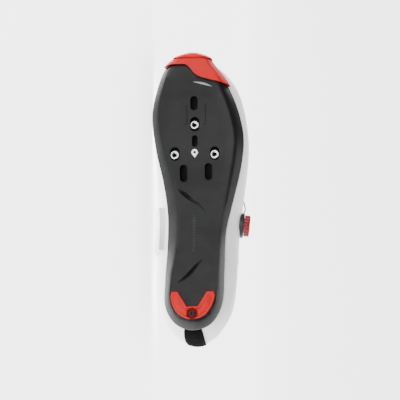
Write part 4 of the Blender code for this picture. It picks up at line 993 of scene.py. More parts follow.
    def __init__(self) -> None:
        """Build every finish from the shared effects."""
        shelf = EffectShelf()
        finishes = [value for value in vars(Look).values() if isinstance(value, Finish)]
        self.materials = {finish.name: finish.build(shelf) for finish in finishes}

    def __getitem__(self, finish: Finish) -> bpy.types.Material:
        """The material of one finish."""
        return self.materials[finish.name]


class CleatSlot(NamedTuple):
    """A slot in the plate: place in the cleat pattern's own steps, and its size in metres."""

    ahead: float
    aside: float
    length: float
    width: float


class Hollow(NamedTuple):
    """One point of a scooped hollow: shares of the sole's sizes, and its radius in metres."""

    along: float
    across: float
    radius: float


@dataclass(frozen=True)
class CleatPattern:
    """The three-bolt pattern under the ball of the foot."""

    along: float = 0.0287
    across: float = 0.0363
    place: float = 0.6985
    offset: float = 0.0008
    stud_behind: float = 0.93

    def spot(self, ahead: float, aside: float) -> tuple[float, float]:
        """Plan place of a step count from the front nut."""
        return self.place * LAST.length + ahead * self.along, self.offset + aside * self.across

    def nuts(self) -> dict[str, tuple[float, float]]:
        """Plan places of the three nuts."""
        return {
            "front": self.spot(0.0, 0.0),
            "rear_inner": self.spot(-1.0, -0.5),
            "rear_outer": self.spot(-1.0, 0.5),
        }

    def stud_seat(self) -> Matrix:
        """Place of the stud between the rear nuts."""
        return LAST.plate_seat(*self.spot(-self.stud_behind, 0.0))


CLEATS = CleatPattern()


def spread(pair: np.ndarray, middle: Sequence[float], reach: float) -> np.ndarray:
    """Two places across a section, at least reach outside two middle places."""
    return np.array([min(pair[0], middle[0] - reach), max(pair[1], middle[1] + reach)])


@dataclass(frozen=True)
class SoleForm:
    """Fine cross sections of the sole's form, for the plate and the bumper over it.

    most_rim, most_bead: limits of rim and bead where the sole is narrow, shares of the width.
    near, far: limits of the wall and of the dish's slope from the edge, shares of the width.
    least_floor, least_slope: smallest half floor and slope of the dish, shares of the width.
    """

    stations: int = 150
    rim_points: int = 9
    middle_points: int = 12
    bead_points: int = 7
    floor_points: int = 5
    most_rim: float = 0.30
    most_bead: float = 0.5
    near: float = 0.08
    far: float = 0.16
    least_floor: float = 0.05
    least_slope: float = 0.04

    def lengths(self, outline: np.ndarray) -> np.ndarray:
        """Lengths at which the form is cut, closer together at its two ends."""
        low, high = outline[:, 0].min(), outline[:, 0].max()
        angles = np.linspace(0.45, self.stations - 0.45, self.stations) * math.pi / self.stations
        return low + (high - low) * (1 - np.cos(angles)) / 2

    def loops(self, grow: float = 0.0, raise_top: float = 0.0) -> list[np.ndarray]:
        """Cross sections from heel to toe.

        Args:
            grow: How far the outline moves out and the underside down.
            raise_top: Height of a level top over the rim; 0 for the dished bed.

        Returns:
            One closed loop of points for each section.
        """
        outline = LAST.outline(grow)
        wall_line = LAST.outline(grow - LAST.rim_wall)
        dish_line = LAST.outline(grow - LAST.rim_wall - LAST.dish_slope)
        rim_share = np.linspace(0.0, 1.0, self.rim_points)
        loops = []
        for x in self.lengths(outline):
            inner, outer = half_widths(outline, x)
            width = outer - inner
            rims = [LAST.ball * float(LAST.column(name, x)) for name in ("inner_rim", "outer_rim")]
            rim_in, rim_out = (min(rim, self.most_rim * width) for rim in rims)
            bead = min(LAST.bead_width, self.most_bead * (width - rim_in - rim_out))
            left = inner + rim_in * rim_share
            right = outer - rim_out * rim_share[::-1]
            beads = right[0] - bead * np.linspace(1.0, 0.0, self.bead_points)[:-1]
            middle = np.linspace(left[-1], beads[0], self.middle_points)[1:-1]
            bottom_y = np.concatenate([left, middle, beads, right])
            near = min(LAST.rim_wall, self.near * width)
            walls = np.clip(half_widths(wall_line, x), inner + near, outer - near)
            far = min(LAST.rim_wall + LAST.dish_slope, self.far * width)
            slopes = np.clip(half_widths(dish_line, x), inner + far, outer - far)
            centre = (slopes[0] + slopes[1]) / 2
            slopes = spread(slopes, (centre, centre), self.least_floor * width)
            walls = spread(walls, slopes, self.least_slope * width)
            flat = np.linspace(slopes[1], slopes[0], self.floor_points)[1:-1]
            top_y = np.concatenate([[outer, walls[1], slopes[1]], flat, [slopes[0], walls[0], inner]])
            bottom_z = LAST.underside(outline, np.full_like(bottom_y, x), bottom_y) - grow
            if raise_top:
                top_z = np.full_like(top_y, float(LAST.rim_top(x)) + raise_top)
            else:
                top_z = LAST.bed(outline, np.full_like(top_y, x), top_y)
            y = np.concatenate([bottom_y, top_y])
            z = np.concatenate([bottom_z, top_z])
            loops.append(np.stack([np.full_like(y, x), y, z], axis=-1))
        return loops


@dataclass(frozen=True)
class SolePlate:
    """Stiff composite plate with cleat slots, scooped hollows and printed marks; its slots and hollows carry
    painted shade, and a pale crescent on it is a painted highlight.

    arch_end: where the arch's hollows end, share of the sole's length.
    shade_starts, slot_shaded, hollow_shaded: depths at which the painted shade starts and is full.
    rim_clear: distances from the edge between which the slots' shade sets in.
    scales: place across, and both ends along, of each scale beside the front slots.
    hatch_run: both ends of the hatch along the arch.
    crescent_line: three plan points of the middle of the crescent, a painted highlight.
    """

    form: SoleForm = SoleForm()
    slot_depth: float = 0.0030
    slot_round: float = 0.00035
    stud_radius: float = 0.0031
    stud_tail: float = 0.0052
    stud_depth: float = 0.0014
    stud_turn: float = 125.0
    arch_end: float = 0.495
    pad_margin: float = 0.002
    hollow_shade: float = 0.75
    shade_starts: float = 0.0002
    slot_shaded: float = 0.0009
    hollow_shaded: float = 0.0022
    rim_clear: tuple[float, float] = (0.003, 0.0045)
    mark_height: float = 0.00005
    mark_width: float = 0.00042
    taper_end: float = 0.03
    scales: tuple[tuple[float, float, float], ...] = (
        (-0.0063, 0.1878, 0.2056), (0.0108, 0.1874, 0.2071),
    )
    scale_ticks: int = 7
    long_tick: float = 0.0026
    short_tick: float = 0.0013
    hatch_run: tuple[float, float] = (0.0690, 0.1035)
    hatch_middle: float = -0.0004
    hatch_ticks: int = 24
    hatch_short: float = 0.0011
    hatch_long: float = 0.0017
    hatch_width: float = 0.00035
    crescent_line: tuple[tuple[float, float, float], ...] = (
        (0.2312, -0.0011, 0.0), (0.2291, 0.0079, 0.0), (0.2256, 0.0166, 0.0),
    )
    crescent_width: float = 0.0021
    slots: tuple[CleatSlot, ...] = (
        CleatSlot(0.74, -0.020, 0.0142, 0.0068),
        CleatSlot(0.02, 0.000, 0.0142, 0.0084),
        CleatSlot(-0.555, 0.000, 0.0112, 0.0052),
        CleatSlot(-0.97, -0.500, 0.0128, 0.0084),
        CleatSlot(-0.97, 0.500, 0.0128, 0.0084),
        CleatSlot(-1.58, -0.290, 0.0160, 0.0068),
        CleatSlot(-1.54, 0.335, 0.0156, 0.0068),
    )
    hollows: tuple[tuple[Hollow, ...], ...] = (
        (
            Hollow(0.478, -0.170, 0.0006), Hollow(0.466, -0.120, 0.0019), Hollow(0.452, -0.070, 0.0021),
            Hollow(0.440, -0.025, 0.0013), Hollow(0.426, 0.045, 0.0008), Hollow(0.406, 0.105, 0.0004),
        ),
        (
            Hollow(0.148, -0.165, 0.0004), Hollow(0.162, -0.100, 0.0015), Hollow(0.182, -0.035, 0.0019),
            Hollow(0.205, 0.025, 0.0016), Hollow(0.225, 0.085, 0.0004),
        ),
    )

    def drop(self, grow: float) -> list[tuple[float, float]]:
        """Outline of the drop-shaped stud: a round head and a tail towards the heel."""
        radius = self.stud_radius + grow
        turns = np.radians(np.linspace(-self.stud_turn, self.stud_turn, 25))
        points = [(radius * math.cos(turn), radius * math.sin(turn)) for turn in turns]
        return points + [(-self.stud_tail - grow, 0.0)]

    def build(self, pad: "HeelPad") -> bpy.types.Mesh:
        """The plate's mesh, with every slot, pocket and hollow cut."""
        cutters = []
        for index, row in enumerate(self.slots):
            seat = LAST.plate_seat(*CLEATS.spot(row.ahead, row.aside))
            outline = slot_outline(row.length, row.width)
            cutters.append(prism(f"slot_{index}", outline, -self.slot_depth, self.slot_depth, seat))
        drop, depth = self.drop(CLEARANCE), self.stud_depth
        cutters.append(prism("stud_pocket", drop, -depth, depth, CLEATS.stud_seat()))
        floor = LAST.pad_drop + pad.pocket
        cutters.append(prism("pad_pocket", pad.outline(CLEARANCE), -floor, floor))
        for index, row in enumerate(self.hollows):
            spots = [(p.along * LAST.length, p.across * LAST.ball) for p in row]
            points = [Vector((x, y, float(LAST.tread(x)))) for x, y in spots]
            curve = smooth_route(points, 6)
            share = np.linspace(0, len(row) - 1, len(curve))
            radii = np.interp(share, range(len(row)), [p.radius for p in row])
            cutters.append(tube(f"hollow_{index}", curve, radii, 5))
        mesh = rounded(cut(loft("sole_plate", self.form.loops()), cutters), self.slot_round, 2, 42.0)
        self.paint_recess_shade(mesh, pad.front)
        return mesh

    def paint_recess_shade(self, mesh: bpy.types.Mesh, pad_front: float) -> None:
        """Store painted shade at each point of the plate, by how deep it lies in a slot or hollow."""
        x, y, z = np.array([vertex.co for vertex in mesh.vertices]).T
        outline = LAST.outline()
        depth = np.minimum(z - LAST.underside(outline, x, y), LAST.bed(outline, x, y) - z)
        inside = smooth_step(*self.rim_clear, edge_distance(outline, x, y))
        # Painted shade: slots darken fully away from the rim, hollows by hollow_shade
        slots = smooth_step(self.shade_starts, self.slot_shaded, depth) * inside
        hollows = self.hollow_shade * smooth_step(self.shade_starts, self.hollow_shaded, depth)
        arch = (x < self.arch_end * LAST.length) & (x > pad_front + self.pad_margin)
        store_layer(mesh, RECESS_SHADE_LAYER, np.where(arch, hollows, slots))

    def mark_strip(self, points: Points, width: float, taper: bool = False) -> bpy.types.Mesh:
        """A thin strip on the plate along plan points, of one width or fading to its two ends."""
        rows = []
        spots = np.array(points)
        ways = np.gradient(spots, axis=0)
        ways /= np.linalg.norm(ways, axis=1, keepdims=True)
        outline = LAST.outline()
        shares = np.ones(len(spots))
        if taper:
            shares = np.sin(np.linspace(self.taper_end, math.pi - self.taper_end, len(spots)))
        for (x, y), (ahead, aside), share in zip(spots, ways, shares):
            row = []
            for side in (-1, 1):
                px = x - side * aside * share * width / 2
                py = y + side * ahead * share * width / 2
                level = float(LAST.underside(outline, np.array([px]), np.array([py]))[0])
                row += [(px, py, level + self.mark_height), (px, py, level - self.mark_height)]
            rows.append([row[index] for index in (0, 1, 3, 2)])
        return loft("mark", rows, merge=1e-7)

    def marks(self) -> bpy.types.Mesh:
        """Cleat alignment scales beside the front slots."""
        strips = []
        for y, low, high in self.scales:
            strips.append([(x, y) for x in np.linspace(low, high, 12)])
            for index, x in enumerate(np.linspace(low, high, self.scale_ticks)):
                reach = self.long_tick if index in (0, self.scale_ticks - 1) else self.short_tick
                strips.append([(x, y), (x, y - reach / 2), (x, y - reach)])
        meshes = [self.mark_strip(points, self.mark_width) for points in strips]
        return join_meshes("plate_marks", meshes)

    def hatch(self) -> bpy.types.Mesh:
        """Plain hatch of short ticks down the arch."""
        meshes = []
        for index, x in enumerate(np.linspace(*self.hatch_run, self.hatch_ticks)):
            reach = self.hatch_short if index % 4 else self.hatch_long
            tick = [(x, self.hatch_middle + side * reach) for side in (-1, 0, 1)]
            meshes.append(self.mark_strip(tick, self.hatch_width))
        return join_meshes("plate_hatch", meshes)

    def crescent(self) -> bpy.types.Mesh:
        """Thin pale crescent on the plate behind the bumper: a painted highlight."""
        curve = smooth_route(self.crescent_line, 10)
        return self.mark_strip([(point.x, point.y) for point in curve], self.crescent_width, True)

    def dress(self, look: Look, pad: "HeelPad") -> None:
        """Put the plate and its marks in the scene."""
        Piece.place("sole_plate", self.build(pad), look[Look.PLATE], Slot.COMPOSITE, ["outsole"])
        Piece.place("plate_marks", self.marks(), look[Look.PRINT], Slot.COMPOSITE)
        Piece.place("plate_hatch", self.hatch(), look[Look.GREY_PRINT], Slot.COMPOSITE)
        # The crescent is a painted highlight
        Piece.place("plate_painted_highlight", self.crescent(), look[Look.PAINTED_HIGHLIGHT], Slot.COMPOSITE)


class EdgePoint(NamedTuple):
    """Rear edge of the toe bumper: back from the toe, and across, as shares."""

    back: float
    across: float


@dataclass(frozen=True)
class ToeBumper:
    """Red rubber over the toe of the plate, with a lip at its tip and a moulded groove."""

    form: SoleForm = SoleForm()
    gap: float = 0.0005
    thickness: float = 0.0013
    lip: float = 0.0010
    lip_half: float = 0.0193
    lip_back: float = 0.030
    lip_offset: float = -0.0015
    round_edge: float = 0.00035
    edge: tuple[EdgePoint, ...] = (
        EdgePoint(0.060, -0.300), EdgePoint(0.060, -0.110), EdgePoint(0.072, -0.064),
        EdgePoint(0.110, 0.022), EdgePoint(0.130, 0.160), EdgePoint(0.146, 0.330),
    )

    def skin(self, name: str, grow: float, outline: Points) -> bpy.types.Mesh:
        """The sole's form grown out and down, kept inside one region of the plan."""
        region = prism(f"{name}_region", outline, -LAST.spring, 3 * LAST.spring)
        return cut(loft(name, self.form.loops(grow)), [region], "INTERSECT")

    def build(self) -> bpy.types.Mesh:
        """The bumper's mesh."""
        spots = [Vector(((1 - row.back) * LAST.length, row.across * LAST.ball, 0.0)) for row in self.edge]
        rear = [(point.x, point.y) for point in smooth_route(spots[1:], 5)]
        reach = LAST.length * 1.1
        outline = [(spots[0].x, spots[0].y), *rear, (rear[-1][0], LAST.ball), (reach, LAST.ball)]
        outline += [(reach, -LAST.ball), (spots[0].x, -LAST.ball)]
        grow = self.gap + self.thickness
        body = self.skin("toe_bumper", grow, outline)
        low, high = (self.lip_offset + side * self.lip_half for side in (-1, 1))
        front = LAST.length * (1 - self.lip_back)
        corners = [(front, low), (front, high), (reach, high), (reach, low)]
        lip = self.skin("toe_lip", grow + self.lip, corners)
        body = cut(body, [lip], "UNION")
        inside = loft("toe_inside", self.form.loops(self.gap, LAST.ball_stack))
        return rounded(cut(body, [inside]), self.round_edge, 2, 42.0)

    def dress(self, look: Look) -> None:
        """Put the bumper in the scene."""
        red = look[Look.RED_RUBBER]
        Piece.place("toe_bumper_rubber", self.build(), red, Slot.RED_RUBBER, ["toe_bumper"])


@dataclass(frozen=True)
class HeelPad:
    """Red rubber U under the heel, with a moulded groove and a dark screw.

    tip: how far short of the pad's front its round outline ends.
    seat_start, seat_margin: height from which the screw's seat gets painted shade, and reach past its
    corners.
    """

    inset: float = 0.0066
    front: float = 0.0308
    corner: float = 0.0012
    notch_back: float = 0.0175
    notch_wide: float = 0.0130
    notch_narrow: float = 0.0049
    pocket: float = 0.0015
    tip: float = 0.002
    offset: float = -0.0015
    screw_place: float = 0.0113
    screw_radius: float = 0.0027
    hexagon: float = 0.0056
    hexagon_depth: float = 0.0006
    seat_shade: float = 0.85
    seat_margin: float = 0.0002
    seat_start: float = 0.0003
    groove_inset: float = 0.0017
    groove_width: float = 0.0006
    groove_depth: float = 0.00035
    round_edge: float = 0.0005
    screw_edge: float = 0.0003
    screw_round: float = 0.00008

    def floor(self) -> float:
        """Height of the pad's upper face, which rests in the plate's pocket."""
        return LAST.pad_drop + self.pocket - CLEARANCE

    def outline(self, grow: float) -> list[tuple[float, float]]:
        """Outline of the pad, which follows the sole's edge."""
        edge = LAST.outline(grow - self.inset)[::6]
        front = self.front + grow
        heel = [tuple(point) for point in edge[:-1] if point[0] < front - self.tip]
        inner = sorted((point for point in heel if point[1] < self.offset), key=lambda point: -point[0])
        outer = sorted((point for point in heel if point[1] >= self.offset), key=lambda point: point[0])
        wide, narrow = self.notch_wide - grow, self.notch_narrow - grow
        back = self.notch_back + grow
        return inner + outer + [
            (front, outer[-1][1] - self.corner),
            (front, self.offset + wide),
            (back, self.offset + narrow),
            (back, self.offset - narrow),
            (front, self.offset - wide),
            (front, inner[0][1] + self.corner),
        ]

    def ring(self, radius: float, sides: int) -> list[tuple[float, float]]:
        """Regular outline round the origin."""
        turns = [2 * math.pi * side / sides for side in range(sides)]
        return [(radius * math.cos(turn), radius * math.sin(turn)) for turn in turns]

    def build(self) -> bpy.types.Mesh:
        """The pad's mesh: its groove, hexagonal seat and hole are cut, its edges rounded."""
        floor, deep, depth = self.floor(), self.hexagon_depth, self.groove_depth
        pad = prism("heel_pad", self.outline(0.0), 0.0, floor)
        seat = Matrix.Translation((self.screw_place, self.offset, 0.0))
        hexagon = prism("hexagon", self.ring(self.hexagon, 6), -deep, deep, seat)
        hole = prism("hole", self.ring(self.screw_radius + CLEARANCE, 32), -floor, 2 * floor, seat)
        groove = prism("groove", self.outline(-self.groove_inset), -depth, depth)
        inner_line = self.outline(-self.groove_inset - self.groove_width)
        groove = cut(groove, [prism("groove_core", inner_line, -2 * depth, 2 * depth)])
        mesh = rounded(cut(pad, [groove, hexagon, hole]), self.round_edge, 3, 50.0)
        # Painted shade in the screw's hexagonal seat, stored in the recess layer
        x, y, z = np.array([vertex.co for vertex in mesh.vertices]).T
        away = np.hypot(x - self.screw_place, y - self.offset)
        shaded_seat = (z > self.seat_start) & (away < self.hexagon + self.seat_margin)
        store_layer(mesh, RECESS_SHADE_LAYER, np.where(shaded_seat, self.seat_shade, 0.0))
        return mesh

    def screw(self) -> bpy.types.Mesh:
        """Dark screw with a six-sided socket."""
        height = self.floor() - self.hexagon_depth
        place = Matrix.Translation((self.screw_place, self.offset, self.floor()))
        turn = place @ Matrix.Rotation(math.pi, 4, "X")
        radius, edge = self.screw_radius, self.screw_edge
        profile = [
            (0.0, 0.0), (radius, 0.0), (radius, height - edge),
            (radius - 0.3 * edge, height - 0.3 * edge), (radius - edge, height), (0.0, height),
        ]
        head = turned("pad_screw", profile, 48, turn)
        socket = prism("socket", self.ring(0.5 * radius, 6), 0.4 * height, 2 * height, turn)
        return rounded(cut(head, [socket]), self.screw_round, 2, 50.0)

    def dress(self, look: Look) -> None:
        """Put the pad and its screw in the scene."""
        red, dark = look[Look.RED_RUBBER], look[Look.DARK_STEEL]
        Piece.place("heel_pad_rubber", self.build(), red, Slot.RED_RUBBER, ["heel_pad"])
        Piece.place("pad_screw", self.screw(), dark, Slot.DARK_STEEL, ["heel_pad_screw"])


@dataclass(frozen=True)
class CleatFittings:
    """Bright threaded nuts in the slots, and the drop-shaped stud behind them, with a dark disc of painted
    shade in its dimple.
    """

    diameter: float = 0.0078
    bore: float = 0.0040
    height: float = 0.0023
    chamfer: float = 0.0005
    threads: int = 4
    thread_depth: float = 0.00028
    stud_proud: float = 0.0003
    stud_round: float = 0.0004
    dimple: float = 0.00115
    drill_top: float = 0.001
    shade_disc_gap: float = 0.00005
    shade_disc_lift: float = 0.00003
    shade_disc_height: float = 0.0004

    def nut(self, name: str, seat: Matrix, slot_depth: float) -> bpy.types.Mesh:
        """One nut: its bore is threaded and its top is a rounded ring."""
        outer, bore = self.diameter / 2, self.bore / 2
        low = CLEARANCE - slot_depth
        high = low + self.height
        profile = []
        for index in range(2 * self.threads + 1):
            level = low + self.chamfer + (high - low - 2 * self.chamfer) * index / (2 * self.threads)
            profile.append((bore + self.thread_depth * (index % 2), level))
        crest = bore + self.thread_depth
        for turn in np.radians(np.linspace(60, 180, 11)):
            radius = crest + (outer - bore - self.thread_depth) * (1 - math.cos(turn)) / 2
            profile.append((radius, high - self.chamfer * (1 - math.sin(turn))))
        profile += [(outer, low), (bore + self.chamfer, low)]
        return turned(name, profile, 56, seat)

    def stud(self, plate: SolePlate) -> bpy.types.Mesh:
        """The stud, with a domed edge and a drilled dimple."""
        low = CLEARANCE - plate.stud_depth
        drill = self.disc("dimple", self.dimple, low / 2, self.drill_top)
        body = prism("stud", plate.drop(0.0), low, self.stud_proud, CLEATS.stud_seat())
        return rounded(cut(body, [drill]), self.stud_round, 4, 50.0)

    def disc(self, name: str, radius: float, low: float, high: float) -> bpy.types.Mesh:
        """Round disc on the stud's axis."""
        profile = [(0.0, low), (radius, low), (radius, high), (0.0, high)]
        return turned(name, profile, 24, CLEATS.stud_seat())

    def socket(self, plate: SolePlate) -> bpy.types.Mesh:
        """Dark disc in the stud's dimple: painted shade."""
        floor = (CLEARANCE - plate.stud_depth) / 2 + self.shade_disc_lift
        radius = self.dimple - self.shade_disc_gap
        return self.disc("stud_dimple_shade", radius, floor, floor + self.shade_disc_height)

    def dress(self, look: Look, plate: SolePlate) -> None:
        """Put the nuts and the stud in the scene."""
        bright = look[Look.BRIGHT_STEEL]
        for place, (x, y) in CLEATS.nuts().items():
            mesh = self.nut(f"threaded_nut_{place}", LAST.plate_seat(x, y), plate.slot_depth)
            Piece.place(mesh.name, mesh, bright, Slot.BRIGHT_STEEL, [f"cleat_nut_{place}"])
        Piece.place("drop_stud", self.stud(plate), bright, Slot.BRIGHT_STEEL, ["sole_stud"])
        # Painted shade: a dark disc in the stud's dimple
        Piece.place("stud_dimple_shade", self.socket(plate), look[Look.DARK_STEEL], Slot.DARK_STEEL)


def sheet_solid(
    name: str,
    high: np.ndarray,
    low: np.ndarray,
    chart: np.ndarray,
    closed: bool = False,
    zone: tuple[str, np.ndarray] | None = None,
) -> bpy.types.Mesh:
    """Solid between two faces of a grid, with its cloth chart.

    Args:
        name: Name of the mesh.
        high: Points of the upper face, rows by columns.
        low: Points of the lower face, the same shape.
        chart: Places on the cloth in metres, rows by columns, one column more where closed.
        closed: True where the last column joins the first.
        zone: Name and values of one more layer, rows by columns.

    Returns:
        The mesh.
    """
    rows, columns = high.shape[:2]
    points = np.concatenate([high.reshape(-1, 3), low.reshape(-1, 3)])
    under = rows * columns
    faces, corners = [], []

    def add(places: Sequence[tuple[int, int, int]]) -> None:
        """One face from (layer, row, column) places."""
        faces.append([layer * under + row * columns + column % columns for layer, row, column in places])
        corners.extend(chart[row, min(column, chart.shape[1] - 1)] for _, row, column in places)

    last = columns if closed else columns - 1
    for row in range(rows - 1):
        for column in range(last):
            ring = [(row, column), (row, column + 1), (row + 1, column + 1), (row + 1, column)]
            add([(0, *place) for place in ring])
            add([(1, *place) for place in ring[::-1]])
    for row, way in ((0, 1), (rows - 1, -1)):
        for column in range(last):
            add([(0, row, column), (1, row, column), (1, row, column + 1), (0, row, column + 1)][::way])
    if not closed:
        for column, way in ((0, -1), (columns - 1, 1)):
            for row in range(rows - 1):
                add([(0, row, column), (1, row, column), (1, row + 1, column), (0, row + 1, column)][::way])
    mesh = bpy.data.meshes.new(name)
    mesh.from_pydata(points.tolist(), [], faces)
    layer = mesh.uv_layers.new(name=CLOTH_LAYER)
    layer.data.foreach_set("uv", np.array(corners, dtype=np.float32).ravel())
    if zone:
        title, values = zone
        store_layer(mesh, title, np.concatenate([values.ravel(), values.ravel()]))
    bm = bmesh.new()
    bm.from_mesh(mesh)
    bmesh.ops.recalc_face_normals(bm, faces=bm.faces)
    bm.to_mesh(mesh)
    bm.free()
    return mesh


def cloth_chart(points: np.ndarray, closed: bool = False) -> np.ndarray:
    """Places on the cloth in metres for a grid: along its middle row, and up each column."""
    middle = points[len(points) // 2]
    if closed:
        middle = np.concatenate([middle, middle[:1]])
        points = np.concatenate([points, points[:, :1]], axis=1)
    along = np.concatenate([[0.0], np.linalg.norm(np.diff(middle, axis=0), axis=1).cumsum()])
    steps = np.linalg.norm(np.diff(points, axis=0), axis=2)
    up = np.concatenate([np.zeros((1, points.shape[1])), steps.cumsum(axis=0)])
    return np.stack([np.broadcast_to(along, up.shape), up], axis=-1)


def border_distance(points: np.ndarray, open_ends: bool = True) -> np.ndarray:
    """Distance in metres from each grid point to the nearest border of the grid."""
    steps = np.linalg.norm(np.diff(points, axis=0), axis=2)
    up = np.concatenate([np.zeros((1, points.shape[1])), steps.cumsum(axis=0)])
    nearest = np.minimum(up, up[-1] - up)
    if open_ends:
        steps = np.linalg.norm(np.diff(points, axis=1), axis=2)
        along = np.concatenate([np.zeros((len(points), 1)), steps.cumsum(axis=1)], axis=1)
        nearest = np.minimum(nearest, np.minimum(along, along[:, -1:] - along))
    return nearest


def crown(distance: np.ndarray, reach: float) -> np.ndarray:
    """Round shoulder from 0 at a border to 1 at reach inside it."""
    share = 1.0 - np.clip(distance / reach, 0.0, 1.0)
    return np.sqrt(np.clip(1.0 - share * share, 0.0, 1.0))


def line_distance(points: np.ndarray, line: np.ndarray) -> np.ndarray:
    """Distance from each grid point to the nearest place of a polyline."""
    flat = points.reshape(-1, 3)
    best = np.full(len(flat), 1.0)
    for a, b in zip(line, line[1:]):
        side = b - a
        share = np.clip(((flat - a) @ side) / max(float(side @ side), 1e-14), 0.0, 1.0)
        best = np.minimum(best, np.linalg.norm(flat - a - share[:, None] * side, axis=1))
    return best.reshape(points.shape[:-1])


@dataclass(frozen=True)
class Thread:
    """Rows of sewn stitches, each a small capsule sunk into the cloth."""

    length: float = 0.0021
    gap: float = 0.0009
    width: float = 0.00062
    height: float = 0.00046

    def row(self, path: Sequence[tuple[float, float]], lift: float) -> list[Matrix]:
        """Seats of the stitches along a path of (u, v) places on the upper.

        Args:
            path: Corner places of the path.
            lift: Height of the stitches' middle over the upper's face.

        Returns:
            One matrix for each stitch, X along it and Z out of the upper.
        """
        u, v = follow(path, 40 * len(path))
        points = LAST.surface(u, v, lift)
        above = LAST.surface(u, v, lift + LAST.probe)
        steps = np.linalg.norm(np.diff(points, axis=0), axis=1)
        along = np.concatenate([[0.0], steps.cumsum()])
        pitch = self.length + self.gap
        count = max(int(along[-1] / pitch), 1)
        seats = []
        for index in range(count):
            spot = (index + 0.5) * along[-1] / count
            ends = [spot - self.length / 2, spot, spot + self.length / 2]
            places = np.stack([np.interp(ends, along, points[:, axis]) for axis in range(3)], axis=1)
            top = Vector([float(np.interp(spot, along, above[:, axis])) for axis in range(3)])
            middle = Vector(places[1])
            ahead = (Vector(places[2]) - Vector(places[0])).normalized()
            out = (top - middle).normalized()
            out = (out - ahead * out.dot(ahead)).normalized()
            seats.append(Matrix.Translation(middle) @ facing(ahead, out))
        return seats

    def sew(self, name: str, seats: Sequence[Matrix]) -> bpy.types.Mesh:
        """One mesh with a stitch on every seat."""
        bm = bmesh.new()
        bmesh.ops.create_icosphere(bm, subdivisions=2, radius=0.5)
        bm.transform(Matrix.Diagonal((self.length, self.width, self.height, 1.0)))
        template = np.array([(*vertex.co, 1.0) for vertex in bm.verts])
        faces = np.array([[vertex.index for vertex in face.verts] for face in bm.faces])
        bm.free()
        points = np.concatenate([template @ np.array(seat).T for seat in seats])[:, :3]
        every = np.concatenate([faces + index * len(template) for index in range(len(seats))])
        mesh = bpy.data.meshes.new(name)
        mesh.from_pydata(points.tolist(), [], every.tolist())
        return mesh


THREAD = Thread()


class Crease(NamedTuple):
    """A soft trough with a low ridge beside it: its path on the upper, its width and depth."""

    path: tuple[tuple[float, float], ...]
    width: float
    depth: float


